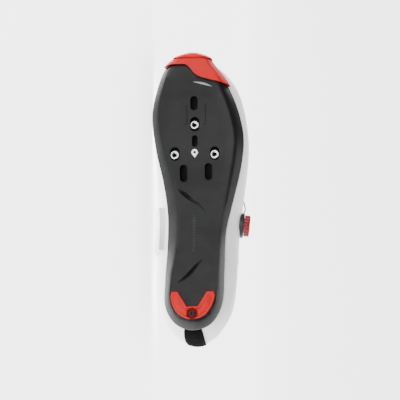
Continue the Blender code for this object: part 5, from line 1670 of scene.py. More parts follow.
@dataclass(frozen=True)
class UpperShell:
    """White hollow upper: flex creases, a raised rand and toe cap, vents, and its lining.

    ridge_height, ridge_place: ridge beside a crease, shares of its depth and width.
    vent_zones: low and high u, low and high v of each perforated field.
    vent_fade: how far a field fades in, round the shoe and up it.
    lining_span: where the lining starts and ends up the shoe.
    """

    columns: int = 400
    rows: int = 64
    wall: float = 0.0022
    lip_rows: int = 5
    lining: float = 0.0006
    rand_height: float = 0.00045
    rand_top: float = 0.0125
    cap_height: float = 0.00045
    cap_place: float = 0.2165
    cap_sweep: float = 0.020
    counter_place: float = 0.060
    counter_sweep: float = 0.030
    counter_height: float = 0.00045
    edge_soft: float = 0.0009
    cap_bend: float = 1.6
    ridge_height: float = 0.45
    ridge_place: float = 2.0
    vent_zones: tuple[tuple[float, float, float, float], ...] = (
        (7.4, 9.7, 0.44, 0.70), (14.4, 16.7, 0.44, 0.70), (10.7, 13.3, 0.60, 0.86),
    )
    vent_fade: tuple[float, float] = (0.12, 0.02)
    lining_gap: float = 0.00005
    lining_span: tuple[float, float] = (0.03, 0.985)
    creases: tuple[Crease, ...] = (
        Crease(((8.05, 0.34), (8.30, 0.55), (8.62, 0.75)), 0.0030, 0.00075),
        Crease(((8.75, 0.30), (8.95, 0.50), (9.20, 0.66), (9.45, 0.76)), 0.0032, 0.00085),
        Crease(((9.45, 0.36), (9.75, 0.58), (10.3, 0.74)), 0.0026, 0.00055),
        Crease(((15.9, 0.34), (15.65, 0.55), (15.3, 0.75)), 0.0030, 0.00075),
        Crease(((15.1, 0.32), (14.9, 0.52), (14.65, 0.68), (14.40, 0.77)), 0.0032, 0.00085),
        Crease(((14.45, 0.36), (14.2, 0.58), (13.6, 0.74)), 0.0026, 0.00055),
        Crease(((2.25, 0.42), (2.75, 0.52), (3.30, 0.50)), 0.0040, 0.00060),
        Crease(((21.8, 0.42), (21.2, 0.52), (20.7, 0.50)), 0.0040, 0.00060),
        Crease(((1.15, 0.66), (1.75, 0.70), (2.35, 0.66)), 0.0034, 0.00050),
        Crease(((22.9, 0.66), (22.3, 0.70), (21.7, 0.66)), 0.0034, 0.00050),
    )

    def relief(self, points: np.ndarray) -> np.ndarray:
        """Height of the upper's relief over its plain face.

        Args:
            points: Grid of points on the plain face.

        Returns:
            One height for each point.
        """
        x, y, z = (points[..., axis] for axis in range(3))
        above = z - LAST.rim_top(np.clip(x, 0.0, LAST.length))
        cap = x + self.cap_sweep * np.abs(y / LAST.ball) ** self.cap_bend * 2
        counter = x + self.counter_sweep * above / LAST.heel
        rand, front, back = (
            smooth_step(place, place + self.edge_soft, values)
            for place, values in (
                (self.rand_top, above), (self.cap_place, cap), (self.counter_place, counter),
            )
        )
        height = np.maximum(self.rand_height * (1 - rand), self.cap_height * front)
        height = np.maximum(height, self.counter_height * (1 - back))
        for crease in self.creases:
            line = LAST.base(*follow(crease.path, 24))
            away = line_distance(points, line) / crease.width
            ends = np.minimum(*(np.linalg.norm(points - end, axis=-1) for end in (line[0], line[-1])))
            fade = smooth_step(0.0, 3 * crease.width, ends + crease.width)
            ridge = self.ridge_height * np.exp(-((away - self.ridge_place) ** 2))
            height = height + crease.depth * (-np.exp(-(away**2)) + ridge) * fade
        return height

    def vents(self, u: np.ndarray, v: np.ndarray) -> np.ndarray:
        """Where the upper is perforated: over the toes and beside the throat."""
        mask = np.zeros(np.broadcast(u, v).shape)
        for low_u, high_u, low_v, high_v in self.vent_zones:
            field = 1.0
            for low, high, fade, values in zip((low_u, low_v), (high_u, high_v), self.vent_fade, (u, v)):
                rising = smooth_step(low, low + fade, values)
                field = field * rising * (1 - smooth_step(high - fade, high, values))
            mask = np.maximum(mask, field)
        return mask

    def grid(self) -> tuple[np.ndarray, np.ndarray]:
        """Places of the grid round the shoe and up its sides."""
        u = np.linspace(0.0, TURN, self.columns, endpoint=False)
        v = np.linspace(0.0, 1.0, self.rows)
        return np.meshgrid(u, v)

    def build(self) -> bpy.types.Mesh:
        """The shell's mesh, its top edge rolled over."""
        u, v = self.grid()
        plain = LAST.base(u, v)
        height = self.relief(plain)
        outer = LAST.surface(u, v, height)
        inner = LAST.surface(u, v, -self.wall)
        rise = outer[-1] - outer[-2]
        rise /= np.linalg.norm(rise, axis=-1, keepdims=True)
        rolls_out, rolls_in = [], []
        middle = (outer[-1] + inner[-1]) / 2
        for index in range(1, self.lip_rows + 1):
            angle = 0.5 * math.pi * index / self.lip_rows
            raised = rise * math.sin(angle) * self.wall / 2
            rolls_out.append(middle + (outer[-1] - middle) * math.cos(angle) + raised)
            rolls_in.append(middle + (inner[-1] - middle) * math.cos(angle) + raised)
        outer = np.concatenate([outer, rolls_out])
        inner = np.concatenate([inner, rolls_in])
        mask = np.concatenate([self.vents(u, v), np.zeros((self.lip_rows, self.columns))])
        chart = cloth_chart(outer, closed=True)
        mesh = sheet_solid("upper_shell", outer, inner, chart, closed=True, zone=(VENT_LAYER, mask))
        bm = bmesh.new()
        bm.from_mesh(mesh)
        bmesh.ops.remove_doubles(bm, verts=bm.verts, dist=1e-7)
        bm.to_mesh(mesh)
        bm.free()
        return mesh

    def build_lining(self) -> bpy.types.Mesh:
        """Cloth lining inside the shell."""
        round_way = np.linspace(0.0, TURN, 240, endpoint=False)
        u, v = np.meshgrid(round_way, np.linspace(*self.lining_span, 30))
        high = LAST.surface(u, v, -self.wall - self.lining_gap)
        low = LAST.surface(u, v, -self.wall - self.lining)
        return sheet_solid("upper_lining", high, low, cloth_chart(low, closed=True), closed=True)

    def dress(self, look: Look) -> None:
        """Put the shell and its lining in the scene."""
        white, cloth = look[Look.WHITE_SHELL], look[Look.LINING]
        Piece.place("upper_shell", self.build(), white, Slot.WHITE_SHELL, ["upper"], 50.0)
        Piece.place("upper_lining", self.build_lining(), cloth, Slot.WHITE_MESH, (), 50.0)


@dataclass(frozen=True)
class CollarPad:
    """Padded roll inside the collar, quilted across, with its binding.

    quilt_pitch, quilt_width, quilt_depth: spacing and width of the seams in u, and their depth.
    """

    u_range: tuple[float, float] = (-5.0, 5.0)
    low: float = 0.60
    high: float = 0.985
    wall: float = 0.0029
    thickness: float = 0.0042
    shoulder: float = 0.009
    columns: int = 160
    rows: int = 22
    least: float = 0.0002
    quilt_pitch: float = 1.25
    quilt_width: float = 0.10
    quilt_depth: float = 0.0009
    binding_radius: float = 0.0014
    binding_inset: float = 0.0011
    binding_rise: float = 0.0009
    binding_over: float = 0.1

    def build(self) -> bpy.types.Mesh:
        """The cushion's mesh."""
        up = np.linspace(self.low, self.high, self.rows)
        u, v = np.meshgrid(np.linspace(*self.u_range, self.columns), up)
        plain = LAST.surface(u, v, -self.wall)
        depth = self.thickness * crown(border_distance(plain), self.shoulder)
        from_seam = (u % self.quilt_pitch - self.quilt_pitch / 2) / self.quilt_width
        sewn = self.quilt_depth * np.exp(-(from_seam**2)) * (depth / self.thickness)
        inside = LAST.surface(u, v, -self.wall - depth + sewn - self.least)
        return sheet_solid("collar_pad", plain, inside, cloth_chart(inside))

    def binding(self) -> bpy.types.Mesh:
        """Thin rolled binding over the collar's top edge."""
        start, stop = self.u_range
        u = np.linspace(start - self.binding_over, stop + self.binding_over, 150)
        edge = LAST.surface(u, 1.0, -self.binding_inset)
        points = [Vector(point) + Vector((0.0, 0.0, self.binding_rise)) for point in edge]
        return tube("collar_binding", points, [self.binding_radius] * len(points), 4)

    def dress(self, look: Look) -> None:
        """Put the pad and its binding in the scene."""
        pad = Piece.place("collar_pad", self.build(), look[Look.LINING], Slot.WHITE_MESH, (), 60.0)
        Piece.place("collar_binding", self.binding(), look[Look.WHITE_MESH], Slot.WHITE_MESH, (), 60.0)


@dataclass(frozen=True)
class Tongue:
    """Padded mesh tongue under the throat, its end above the collar.

    u_range: stations where the tongue's root and its last section under the throat lie.
    flank: how far the tongue reaches down under the throat's edges, share of the overlap.
    arch: height of its middle over the throat, share of the throat's width.
    end_way: direction of the free end, along the shoe and up.
    channel_sides, channel_rows: sewn lines along it, shares of its width, and across it.
    """

    wall: float = 0.0022
    gap: float = 0.0008
    thickness: float = 0.0040
    overlap: float = 0.0110
    rise: float = 0.0150
    taper: float = 0.28
    flank_points: int = 9
    bridge_points: int = 17
    sections: int = 60
    shoulder: float = 0.0028
    channel_width: float = 0.0011
    channel_depth: float = 0.0007
    u_range: tuple[float, float] = (11.0, 5.15)
    flank: float = 0.2
    most_flank: float = 0.22
    arch: float = 0.30
    end_rows: int = 14
    end_way: tuple[float, float, float] = (-0.62, 0.0, 0.78)
    channel_sides: tuple[float, float] = (0.30, 0.70)
    channel_rows: int = 9
    border: float = 0.35
    binding_radius: float = 0.00135
    binding_way: tuple[float, float, float] = (0.25, 0.0, -0.95)

    def section(self, u: float) -> np.ndarray:
        """Line across the tongue at one pair of stations, under both throat edges."""
        edge = LAST.base(u, 1.0) - LAST.base(u, 0.8)
        flank = min(self.flank * self.overlap / float(np.linalg.norm(edge)), self.most_flank)
        v = 1.0 - flank * np.linspace(1.0, 0.0, self.flank_points)
        inset = -(self.wall + self.gap)
        inner = LAST.surface(u, v, inset)
        outer = LAST.surface(TURN - u, v, inset)[::-1]
        share = np.linspace(0.0, 1.0, self.bridge_points)[1:-1][:, None]
        bridge = inner[-1] * (1 - share) + outer[0] * share
        span = np.linalg.norm(outer[0] - inner[-1])
        bridge[:, 2] += self.arch * span * (share * (1 - share))[:, 0]
        return np.concatenate([inner, bridge, outer])

    def face(self) -> np.ndarray:
        """The tongue's plain outer face, from its root to its end."""
        rows = [self.section(u) for u in np.linspace(*self.u_range, self.sections)]
        top = rows[-1]
        centre = top.mean(axis=0)
        for share in np.linspace(0.0, 1.0, self.end_rows)[1:]:
            narrow = 1.0 - self.taper * share**0.7
            moved = (top - centre) * np.array([1.0, narrow, 1.0]) + centre
            rows.append(moved + np.array(self.end_way) * self.rise * share)
        return np.array(rows)

    def build(self) -> bpy.types.Mesh:
        """The tongue's mesh, with sewn channels and round borders."""
        face = self.face()
        across = np.gradient(face, axis=1)
        along = np.gradient(face, axis=0)
        normal = np.cross(across, along)
        normal /= np.linalg.norm(normal, axis=-1, keepdims=True)
        normal *= np.sign(normal[..., 2:].mean())
        away = border_distance(face)
        round_off = crown(away, self.shoulder)
        middle = face - normal * self.thickness / 2
        columns = face.shape[1]
        left, right = self.channel_sides
        lines = [face[6:-8, int(round(share * (columns - 1)))] for share in (left, right)]
        for row in range(12, len(face) - 10, self.channel_rows):
            lines.append(face[row, int(left * columns) : int(right * columns) + 1])
        nearest = np.min([line_distance(face, line) for line in lines], axis=0)
        channel = np.exp(-((nearest / self.channel_width) ** 2))
        half = self.thickness / 2 * (self.border + (1 - self.border) * round_off)
        high = middle + normal * (half - self.channel_depth * channel)[..., None]
        low = middle - normal * half[..., None]
        return sheet_solid("tongue_pad", high, low, cloth_chart(high))

    def binding(self) -> bpy.types.Mesh:
        """Binding round the tongue's free end."""
        face = self.face()
        edge = np.concatenate([face[-20:, 0], face[-1, 1:-1], face[-20:, -1][::-1]])
        way = np.array(self.binding_way) * self.thickness / 2
        points = [Vector(point + way) for point in edge]
        return tube("tongue_binding", points, [self.binding_radius] * len(points), 4)

    def dress(self, look: Look) -> None:
        """Put the tongue and its binding in the scene."""
        cloth, weld = look[Look.WHITE_MESH], look[Look.WHITE_WELD]
        pad = Piece.place("tongue_pad", self.build(), cloth, Slot.WHITE_MESH, ["tongue"], 60.0)
        Piece.place("tongue_binding", self.binding(), weld, Slot.WHITE_SHELL, (), 60.0)


@dataclass(frozen=True)
class Footbed:
    """Thin cloth-covered footbed on the plate, with a heel cup line and a forefoot ridge.

    ridge_place, ridge_size: middle and half widths of the ridge behind the ball, in plan.
    cup_length, cup_depth: how far the heel's cup reaches forward, and how much it sinks.
    border: thickness left at the footbed's edge, share of the whole.
    """

    inset: float = 0.0105
    lift: float = 0.0006
    thickness: float = 0.0026
    rows: int = 90
    columns: int = 36
    round_edge: float = 0.0011
    ridge_place: tuple[float, float] = (0.150, -0.002)
    ridge_size: tuple[float, float] = (0.012, 0.011)
    ridge_height: float = 0.0009
    cup_length: float = 0.045
    cup_depth: float = 0.0004
    sink: float = 0.0003
    border: float = 0.45

    def build(self) -> bpy.types.Mesh:
        """The footbed's mesh."""
        outline = LAST.outline(-self.inset)
        low, high = outline[:, 0].min(), outline[:, 0].max()
        turn = np.linspace(0.05, math.pi - 0.05, self.rows)
        lengths = low + (high - low) * (1 - np.cos(turn)) / 2
        sides = np.array([half_widths(outline, x) for x in lengths])
        share = np.linspace(0.0, 1.0, self.columns)
        y = sides[:, :1] + (sides[:, 1:] - sides[:, :1]) * share
        x = np.repeat(lengths[:, None], self.columns, axis=1)
        base = LAST.tread(x) + LAST.plate + self.lift
        under = np.stack([x, y, base], axis=-1)
        edge = crown(border_distance(under), self.round_edge)
        (ridge_x, ridge_y), (half_x, half_y) = self.ridge_place, self.ridge_size
        ridge = np.exp(-(((x - ridge_x) / half_x) ** 2) - ((y - ridge_y) / half_y) ** 2)
        cup = smooth_step(0.0, self.cup_length, x) * self.cup_depth
        relief = (self.ridge_height * ridge - cup - self.sink) * edge
        top = base + self.thickness * (self.border + (1 - self.border) * edge) + relief
        over = np.stack([x, y, top], axis=-1)
        return sheet_solid("footbed", over, under, np.stack([x, y], axis=-1))

    def dress(self, look: Look) -> None:
        """Put the footbed in the scene."""
        Piece.place("footbed", self.build(), look[Look.FOOTBED], Slot.GREY_FOAM, ["insole"], 50.0)


class Panel(NamedTuple):
    """A panel on the upper: its CAD node, place, edges, thickness, rounding and finish."""

    node: str
    u_range: tuple[float, float]
    edges: tuple[tuple[float, float], ...]
    thickness: float
    rounding: float
    finish: Finish
    slot: Slot


THROAT_EDGES = ((0.80, 0.985), (0.80, 0.985), (0.82, 0.985), (0.88, 0.985))


@dataclass(frozen=True)
class UpperPanels:
    """Welded panels on the upper: eyestays, heel strip and the flat-faced instep wing.

    long_span: stations round the shoe above which a panel takes all the columns.
    ribs, rib_depth, rib_start, rib_run: bars across the strip, their depth, and where they lie up it.
    seam_low: height of the eyestays' seams over their lower edge, share of the upper's height.
    heel_seams: heights of the two seams on each side of the heel.
    """

    wing_lean: float = 0.018
    columns: int = 64
    rows: int = 20
    short_columns: int = 24
    strip_rows: int = 60
    long_span: float = 2.0
    ribs: int = 6
    rib_depth: float = 0.0004
    rib_start: float = 0.35
    rib_run: float = 0.5
    rib_fade: tuple[float, float] = (0.75, 0.6)
    seam_low: float = 0.035
    seam_inset: float = 0.15
    seam_lift: float = 0.0001
    heel_seams: tuple[float, float] = (0.90, 0.57)
    panels: tuple[Panel, ...] = (
        Panel(
            "heel_strip", (-0.46, 0.46), ((0.02, 0.97),), PANEL_THICKNESS, 0.0004,
            Look.STRIP_RUBBER, Slot.COMPOSITE,
        ),
        Panel(
            "eyestay_inner", (5.2, 10.4), THROAT_EDGES, PANEL_THICKNESS, 0.0004,
            Look.WHITE_WELD, Slot.WHITE_SHELL,
        ),
        Panel(
            "eyestay_outer", (13.6, 18.8), THROAT_EDGES[::-1], PANEL_THICKNESS, 0.0004,
            Look.WHITE_WELD, Slot.WHITE_SHELL,
        ),
        Panel(
            "instep_wing", (3.95, 5.35), ((0.14, 0.70), (0.10, 0.76)), 0.0052, 0.0009,
            Look.WHITE_WELD, Slot.WHITE_SHELL,
        ),
    )

    def sheet(self, panel: Panel) -> bpy.types.Mesh:
        """One panel as a solid over the upper's face."""
        is_strip = panel.node == "heel_strip"
        start, stop = panel.u_range
        columns = self.columns if stop - start > self.long_span else self.short_columns
        rows = self.strip_rows if is_strip else self.rows
        share = np.linspace(0.0, 1.0, len(panel.edges))
        across = np.linspace(0.0, 1.0, columns)
        low, high = (np.interp(across, share, heights) for heights in zip(*panel.edges))
        up = np.linspace(0.0, 1.0, rows)[:, None]
        u = np.broadcast_to(np.linspace(start, stop, columns), (rows, columns))
        v = low + (high - low) * up
        relief = np.zeros_like(u)
        if is_strip:
            middle = np.abs(across - 0.5) * 2
            turn = 2 * math.pi * self.ribs * np.clip((up - self.rib_start) / self.rib_run, 0.0, 1.0)
            bars = 0.5 - 0.5 * np.cos(turn)
            relief = -self.rib_depth * bars * smooth_step(*self.rib_fade, middle[None, :])
        under = LAST.surface(u, v, PANEL_GAP)
        over = LAST.surface(u, v, PANEL_GAP + panel.thickness + relief)
        return sheet_solid(panel.node, over, under, cloth_chart(over))

    def trimmed(self, mesh: bpy.types.Mesh) -> bpy.types.Mesh:
        """Trim the wing flat, in line with the sole's inner edge at the ball."""
        edge = LAST.outline()
        ball_x, ball_y = edge[int(np.argmin(edge[:, 1]))]
        corner = Matrix.Translation((0.0, float(ball_y), float(LAST.rim_top(ball_x))))
        lean = Matrix.Rotation(-self.wing_lean, 4, "X")
        outline = [(0.0, -LAST.ball), (LAST.length, -LAST.ball), (LAST.length, 0.0), (0.0, 0.0)]
        return cut(mesh, [prism("wing_side", outline, -LAST.instep, LAST.instep, corner @ lean)])

    def seams(self) -> bpy.types.Mesh:
        """Stitch rows along the eyestays' lower edges and round both sides of the heel."""
        seats = []
        for panel in self.panels:
            if panel.edges not in (THROAT_EDGES, THROAT_EDGES[::-1]):
                continue
            start, stop = panel.u_range
            u = np.linspace(start + self.seam_inset, stop - self.seam_inset, 9)
            share = np.linspace(0, 1, len(panel.edges))
            low = np.interp((u - start) / (stop - start), share, [pair[0] for pair in panel.edges])
            seats += THREAD.row(list(zip(u, low + self.seam_low)), PANEL_GAP + PANEL_THICKNESS)
        for u_range in ((1.9, -0.75), (22.1, 24.75)):
            for height in self.heel_seams:
                seats += THREAD.row([(u, height) for u in np.linspace(*u_range, 7)], self.seam_lift)
        return THREAD.sew("upper_seams", seats)

    def dress(self, look: Look) -> None:
        """Put the panels and their seams in the scene."""
        for panel in self.panels:
            mesh = self.sheet(panel)
            if panel.node == "instep_wing":
                mesh = self.trimmed(mesh)
            mesh = rounded(mesh, panel.rounding, 3, 50.0)
            Piece.place(f"{panel.node}_panel", mesh, look[panel.finish], panel.slot, [panel.node], 50.0)
        Piece.place("upper_seams", self.seams(), look[Look.THREAD], Slot.WHITE_SHELL, (), 60.0)


@dataclass(frozen=True)
class LaceSystem:
    """Four turned lace guides with their straps, and the wire that the dial winds.

    wire, radius, bore: radii of the wire, and of a guide outside and inside.
    lift, lead: height of the wire over the upper, and how far it runs straight out of a guide.
    groove_half, groove_floor, groove_depth: half widths of a guide's groove and its depth.
    strap_tail, strap_nose: places of the strap's flat ends, behind and in front of its guide.
    strap_rise: heights where the strap leaves the eyestay behind the guide and in front.
    rise_front, rise_rear: places of the wire between the dial and the outer guides.
    """

    length: float = 0.0105
    radius: float = 0.0021
    bore: float = 0.0011
    wire: float = 0.0006
    lift: float = 0.0033
    lead: float = 0.0016
    groove_half: float = 0.0007
    groove_floor: float = 0.00045
    groove_depth: float = 0.00022
    strap_width: float = 0.0062
    strap_thick: float = 0.0006
    strap_gap: float = 0.00015
    strap_sink: float = 0.0001
    strap_tail: tuple[float, float, float] = (-0.0088, -0.0050, -0.0032)
    strap_nose: tuple[float, float] = (0.0026, 0.0030)
    strap_rise: tuple[float, float] = (0.0010, 0.0012)
    strap_round: float = 0.00015
    guides: tuple[tuple[str, float, float], ...] = (
        ("lace_guide_inner_front", 7.9, 0.935),
        ("lace_guide_inner_rear", 6.2, 0.935),
        ("lace_guide_outer_front", 16.1, 0.935),
        ("lace_guide_outer_rear", 18.3, 0.935),
    )
    rise_front: tuple[tuple[float, float], ...] = (
        (18.4, 0.54), (17.8, 0.66), (17.2, 0.79), (16.8, 0.88),
    )
    rise_rear: tuple[tuple[float, float], ...] = ((18.9, 0.84), (19.1, 0.74))

    def seat(self, u: float, v: float) -> Matrix:
        """Place of a guide, on the middle of its bore."""
        return LAST.seat(u, v, PANEL_GAP + PANEL_THICKNESS + CLEARANCE + self.radius)

    def guide(self, name: str, u: float, v: float) -> bpy.types.Mesh:
        """One guide: a tube with rounded ends and three shallow grooves."""
        half, lip = self.length / 2, 0.35 * (self.radius - self.bore)
        end = [
            (self.bore, -half + lip), (self.bore + 0.4 * lip, -half + 0.3 * lip), (self.bore + lip, -half),
            (self.radius - 0.2 * lip, -half + 0.4 * lip), (self.radius, -half + lip),
        ]
        groove = [
            (0.0, -self.groove_half), (self.groove_depth, -self.groove_floor),
            (self.groove_depth, self.groove_floor), (0.0, self.groove_half),
        ]
        profile = list(end)
        for share in (-0.45, 0.0, 0.45):
            middle = share * self.length / 2
            profile += [(self.radius - depth, middle + place) for depth, place in groove]
        profile += [(radius, -place) for radius, place in end[::-1]]
        lie = Matrix.Rotation(math.pi / 2, 4, "Y")
        return turned(name, profile, 32, self.seat(u, v) @ lie)

    def strap(self, name: str, u: float, v: float) -> bpy.types.Mesh:
        """Webbing strap that holds a guide to the eyestay."""
        half = self.strap_thick / 2
        over = self.radius + self.strap_gap + half
        low = -self.radius - CLEARANCE + self.strap_sink
        rise_back, rise_front = self.strap_rise
        line = list(zip(self.strap_tail, (low + half, low + half, low + rise_back)))
        for turn in np.radians(np.linspace(160, 20, 9)):
            line.append((over * math.cos(turn), over * math.sin(turn)))
        line += zip(self.strap_nose, (low + rise_front, low + half))
        spots = smooth_route([(x, 0.0, z) for x, z in line], 3)
        side = Vector((0.0, self.strap_width / 2, 0.0))
        loops = []
        for index, spot in enumerate(spots):
            ahead = (spots[min(index + 1, len(spots) - 1)] - spots[max(index - 1, 0)]).normalized()
            out = Vector((-ahead.z, 0.0, ahead.x)) * half
            loops.append([spot + out - side, spot + out + side, spot - out + side, spot - out - side])
        mesh = loft(name, loops)
        mesh.transform(self.seat(u, v) @ Matrix.Rotation(-math.pi / 2, 4, "Z"))
        return rounded(mesh, self.strap_round, 2, 50.0)

    def route(self, dial: "Dial") -> list[Vector]:
        """Route of the wire: out of the dial, through four guides and over the throat, and back."""
        reach = self.length / 2 + self.lead
        seat = LAST.seat(*dial.place, 0.0)
        away = dial.base_radius + CLEARANCE + self.wire
        level = dial.base_height / 2
        places = {name: self.seat(u, v) for name, u, v in self.guides}

        def through(name: str, way: float) -> list[Vector]:
            """Points through one guide."""
            shares = (-1.0, -0.8, -0.3, 0.3, 0.8, 1.0)
            return [places[name] @ Vector((way * share * reach, 0.0, 0.0)) for share in shares]

        def over(spots: Sequence[tuple[float, float]]) -> list[Vector]:
            """Points over the upper's face."""
            return [LAST.point(u, v, self.lift) for u, v in spots]

        return [
            seat @ Vector((-away, 0.0, level)),
            *over(self.rise_front),
            *through("lace_guide_outer_front", -1.0),
            *over([(15.75, 1.0), (8.25, 1.0)]),
            *through("lace_guide_inner_front", -1.0),
            *through("lace_guide_inner_rear", -1.0),
            *over([(5.80, 1.0), (17.70, 1.0)]),
            *through("lace_guide_outer_rear", 1.0),
            *over(self.rise_rear),
            seat @ Vector((0.25 * away, 0.97 * away, level)),
        ]

    def dress(self, look: Look, dial: "Dial") -> None:
        """Put the guides, straps and wire in the scene."""
        for name, u, v in self.guides:
            mesh = self.guide(name, u, v)
            Piece.place(f"{name}_tube", mesh, look[Look.BLACK_PLASTIC], Slot.BLACK_PLASTIC, [name], 40.0)
            strap = self.strap(f"{name}_strap", u, v)
            Piece.place(strap.name, strap, look[Look.WHITE_WELD], Slot.WHITE_SHELL)
        route = smooth_route(self.route(dial), 8)
        wire = tube("lace_wire", route, [self.wire] * len(route), 5)
        Piece.place("wire_lace", wire, look[Look.WIRE], Slot.BLACK_PLASTIC, ["lace_wire"], 60.0)


class KnobLevel(NamedTuple):
    """One ring of the knob: its height, its radius and the teeth's depth, as shares of theirs."""

    height: float
    radius: float
    tooth: float


@dataclass(frozen=True)
class Dial:
    """Lace dial on the outer side: a shaped black base and a ribbed red knob.

    seat_edge: how far the base's flat top reaches inside the knob's radius.
    saddle_u, saddle_v, saddle_depth: reach and thickness of the upper cut out of the base.
    tooth_sharpness: power that narrows the teeth's gaps.
    """

    place: tuple[float, float] = (19.15, 0.475)
    base_radius: float = 0.0118
    base_height: float = 0.0030
    base_root: float = 0.0060
    base_chamfer: float = 0.0012
    knob_radius: float = 0.0100
    knob_height: float = 0.0052
    teeth: int = 20
    tooth_depth: float = 0.0008
    tooth_sharpness: float = 1.6
    seat_edge: float = 0.0008
    saddle_u: float = 0.9
    saddle_v: tuple[float, float] = (0.15, 0.80)
    saddle_top: float = 0.0005
    saddle_depth: float = 0.0115
    levels: tuple[KnobLevel, ...] = (
        KnobLevel(0.0, 0.985, 0.6), KnobLevel(0.0769231, 1.0, 1.0), KnobLevel(0.6923077, 1.0, 1.0),
        KnobLevel(0.8269231, 0.985, 0.9), KnobLevel(0.9230769, 0.955, 0.6),
        KnobLevel(0.9807692, 0.905, 0.25), KnobLevel(1.0, 0.84, 0.0), KnobLevel(1.0, 0.70, 0.0),
        KnobLevel(0.9423077, 0.665, 0.0), KnobLevel(0.9423077, 0.63, 0.0), KnobLevel(1.0, 0.60, 0.0),
        KnobLevel(1.0, 0.30, 0.0), KnobLevel(0.9807692, 0.1, 0.0),
    )

    def base(self) -> bpy.types.Mesh:
        """Base whose underside follows the upper, with a step and a rounded rim."""
        u, v = self.place
        r, h, c = self.base_radius, self.base_height, self.base_chamfer
        profile = [
            (0.0, h), (self.knob_radius - self.seat_edge, h), (r - c, h), (r - 0.45 * c, h - 0.12 * c),
            (r - 0.12 * c, h - 0.45 * c), (r, h - c), (r, -self.base_root), (0.0, -self.base_root),
        ]
        body = turned("dial_base", profile, 96, LAST.seat(u, v, 0.0))
        round_way = np.linspace(u - self.saddle_u, u + self.saddle_u, 40)
        u, v = np.meshgrid(round_way, np.linspace(*self.saddle_v, 36))
        high = LAST.surface(u, v, self.saddle_top)
        low = LAST.surface(u, v, -self.saddle_depth)
        return cut(body, [sheet_solid("dial_saddle", high, low, np.stack([u, v], axis=-1))])

    def knob(self) -> bpy.types.Mesh:
        """Knob with rounded teeth, an eased rim and a stepped cap."""
        low = self.base_height + CLEARANCE
        steps = 12 * self.teeth
        turns = 2 * math.pi * np.arange(steps) / steps
        dent = (0.5 - 0.5 * np.cos(self.teeth * turns)) ** self.tooth_sharpness
        loops = []
        for level in self.levels:
            radius = self.knob_radius * level.radius - self.tooth_depth * dent * level.tooth
            height = np.full(steps, low + level.height * self.knob_height)
            loops.append(np.stack([radius * np.cos(turns), radius * np.sin(turns), height], axis=-1))
        mesh = loft("dial_knob", loops)
        mesh.transform(LAST.seat(*self.place, 0.0))
        return mesh

    def dress(self, look: Look) -> None:
        """Put the dial in the scene."""
        black, red = look[Look.BLACK_PLASTIC], look[Look.RED_PLASTIC]
        Piece.place("dial_housing", self.base(), black, Slot.BLACK_PLASTIC, ["dial_base"], 40.0)
        Piece.place("dial_wheel", self.knob(), red, Slot.RED_RUBBER, ["dial_knob"], 30.0)


class Lamp(NamedTuple):
    """A soft rectangular light: its place, its two widths in metres and its power in watts."""

    name: str
    place: tuple[float, float, float]
    size: tuple[float, float]
    power: float


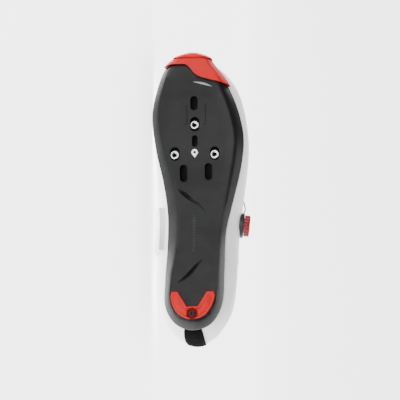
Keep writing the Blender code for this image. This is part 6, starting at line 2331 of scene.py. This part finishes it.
@dataclass(frozen=True)
class Studio:
    """Pale sweep, soft lights, and a camera at the photograph's angle to the shoe.

    yaw, lift: the camera's turn from straight under the sole towards the heel and the outer side.
    focus: place of the standing shoe that the camera's distance is measured to.
    floor_glow, sky, behind_camera: strengths of the sweep and of the light round the shoe.
    sky_fade: part of the surroundings, along world Y, over which the sky sets in.
    sweep_half, sweep_front, sweep_bend, sweep_radius, sweep_top: sizes of the sweep.
    """

    yaw: float = math.radians(18.398)
    lift: float = math.radians(3.6)
    distance: float = 1.2
    focus: tuple[float, float, float] = (0.134, 0.0, 0.02)
    lens: float = 118.12
    sensor: float = 36.0
    shift: tuple[float, float] = (0.01166, -0.03283)
    floor_color: tuple[float, float, float] = (0.93, 0.93, 0.93)
    floor_glow: float = 2.9
    sky: float = 3.0
    behind_camera: float = 0.02
    sky_fade: tuple[float, float] = (-0.85, 0.15)
    sweep_half: float = 6.0
    sweep_front: float = -4.0
    sweep_bend: float = 2.0
    sweep_radius: float = 1.2
    sweep_top: float = 5.0
    lamps: tuple[Lamp, ...] = (
        Lamp("overhead_softbox", (0.2, -0.1, 1.9), (1.6, 1.6), 34.0),
        Lamp("low_front_softbox", (-0.15, -0.9, 0.10), (0.9, 0.16), 2.5),
    )

    def camera(self) -> None:
        """Set the camera, rolled so that the toe points up in its picture."""
        level = math.cos(self.lift)
        way = (-math.sin(self.yaw) * level, math.sin(self.lift), -math.cos(self.yaw) * level)
        back = SHOE.vector(way)
        up = SHOE.vector((1.0, 0.0, 0.0))
        up = (up - back * up.dot(back)).normalized()
        basis = Matrix((up.cross(back), up, back)).transposed().to_4x4()
        data = bpy.data.cameras.new("studio_camera")
        data.lens = self.lens
        data.sensor_width = self.sensor
        data.shift_x, data.shift_y = self.shift
        data.clip_start = 0.01
        item = linked("studio_camera", data)
        item.matrix_world = Matrix.Translation(SHOE.point(self.focus) + back * self.distance) @ basis
        bpy.context.scene.camera = item

    def sweep(self) -> None:
        """Pale floor that curves up into a backdrop."""
        start, radius = self.sweep_bend, self.sweep_radius
        turns = np.radians(np.linspace(0, 90, 25))
        line = [(self.sweep_front, 0.0), (start, 0.0)]
        line += [(start + radius * math.sin(turn), radius * (1 - math.cos(turn))) for turn in turns[1:]]
        line.append((start + radius, self.sweep_top))
        mesh = bpy.data.meshes.new("studio_sweep")
        points = [(side * self.sweep_half, y, z) for y, z in line for side in (-1, 1)]
        faces = [(2 * i, 2 * i + 1, 2 * i + 3, 2 * i + 2) for i in range(len(line) - 1)]
        mesh.from_pydata(points, [], faces)
        mesh.shade_smooth()
        material = bpy.data.materials.new("pale_sweep")
        material.use_nodes = True
        shader = material.node_tree.nodes["Principled BSDF"]
        shader.inputs["Base Color"].default_value = (*self.floor_color, 1.0)
        shader.inputs["Roughness"].default_value = 0.6
        shader.inputs["Emission Color"].default_value = (1.0, 1.0, 1.0, 1.0)
        shader.inputs["Emission Strength"].default_value = self.floor_glow
        mesh.materials.append(material)
        linked("studio_sweep", mesh)

    def light(self, lamp: Lamp) -> None:
        """Set one lamp so that it faces the shoe."""
        data = bpy.data.lights.new(lamp.name, "AREA")
        data.shape = "RECTANGLE"
        data.size, data.size_y = lamp.size
        data.energy = lamp.power
        item = linked(lamp.name, data)
        item.location = lamp.place
        aim = SHOE.point(self.focus) - Vector(lamp.place)
        item.rotation_euler = aim.to_track_quat("-Z", "Y").to_euler()

    def build(self) -> None:
        """Set up the sweep, the lights, the surrounding light and the camera."""
        self.sweep()
        for lamp in self.lamps:
            self.light(lamp)
        world = bpy.data.worlds.new("studio_light")
        world.use_nodes = True
        background = world.node_tree.nodes["Background"]
        bench = Bench(world.node_tree)
        way = bench.add("ShaderNodeTexCoord").outputs["Generated"]
        forward = bench.add("ShaderNodeSeparateXYZ", {0: way}).outputs["Y"]
        share = bench.ramp(forward, *self.sky_fade)
        level = bench.math("MULTIPLY_ADD", share, self.sky - self.behind_camera, self.behind_camera)
        bench.join(level, background, "Strength")
        bpy.context.scene.world = world
        self.camera()


def main() -> None:
    """Build and dress the whole shoe, then the studio."""
    logging.basicConfig(level=logging.INFO, format="%(name)s: %(message)s")
    look = Look()
    plate, pad, dial = SolePlate(), HeelPad(), Dial()
    plate.dress(look, pad)
    ToeBumper().dress(look)
    pad.dress(look)
    CleatFittings().dress(look, plate)
    UpperShell().dress(look)
    CollarPad().dress(look)
    Tongue().dress(look)
    Footbed().dress(look)
    UpperPanels().dress(look)
    LaceSystem().dress(look, dial)
    dial.dress(look)
    Studio().build()


if __name__ == "__main__":
    main()
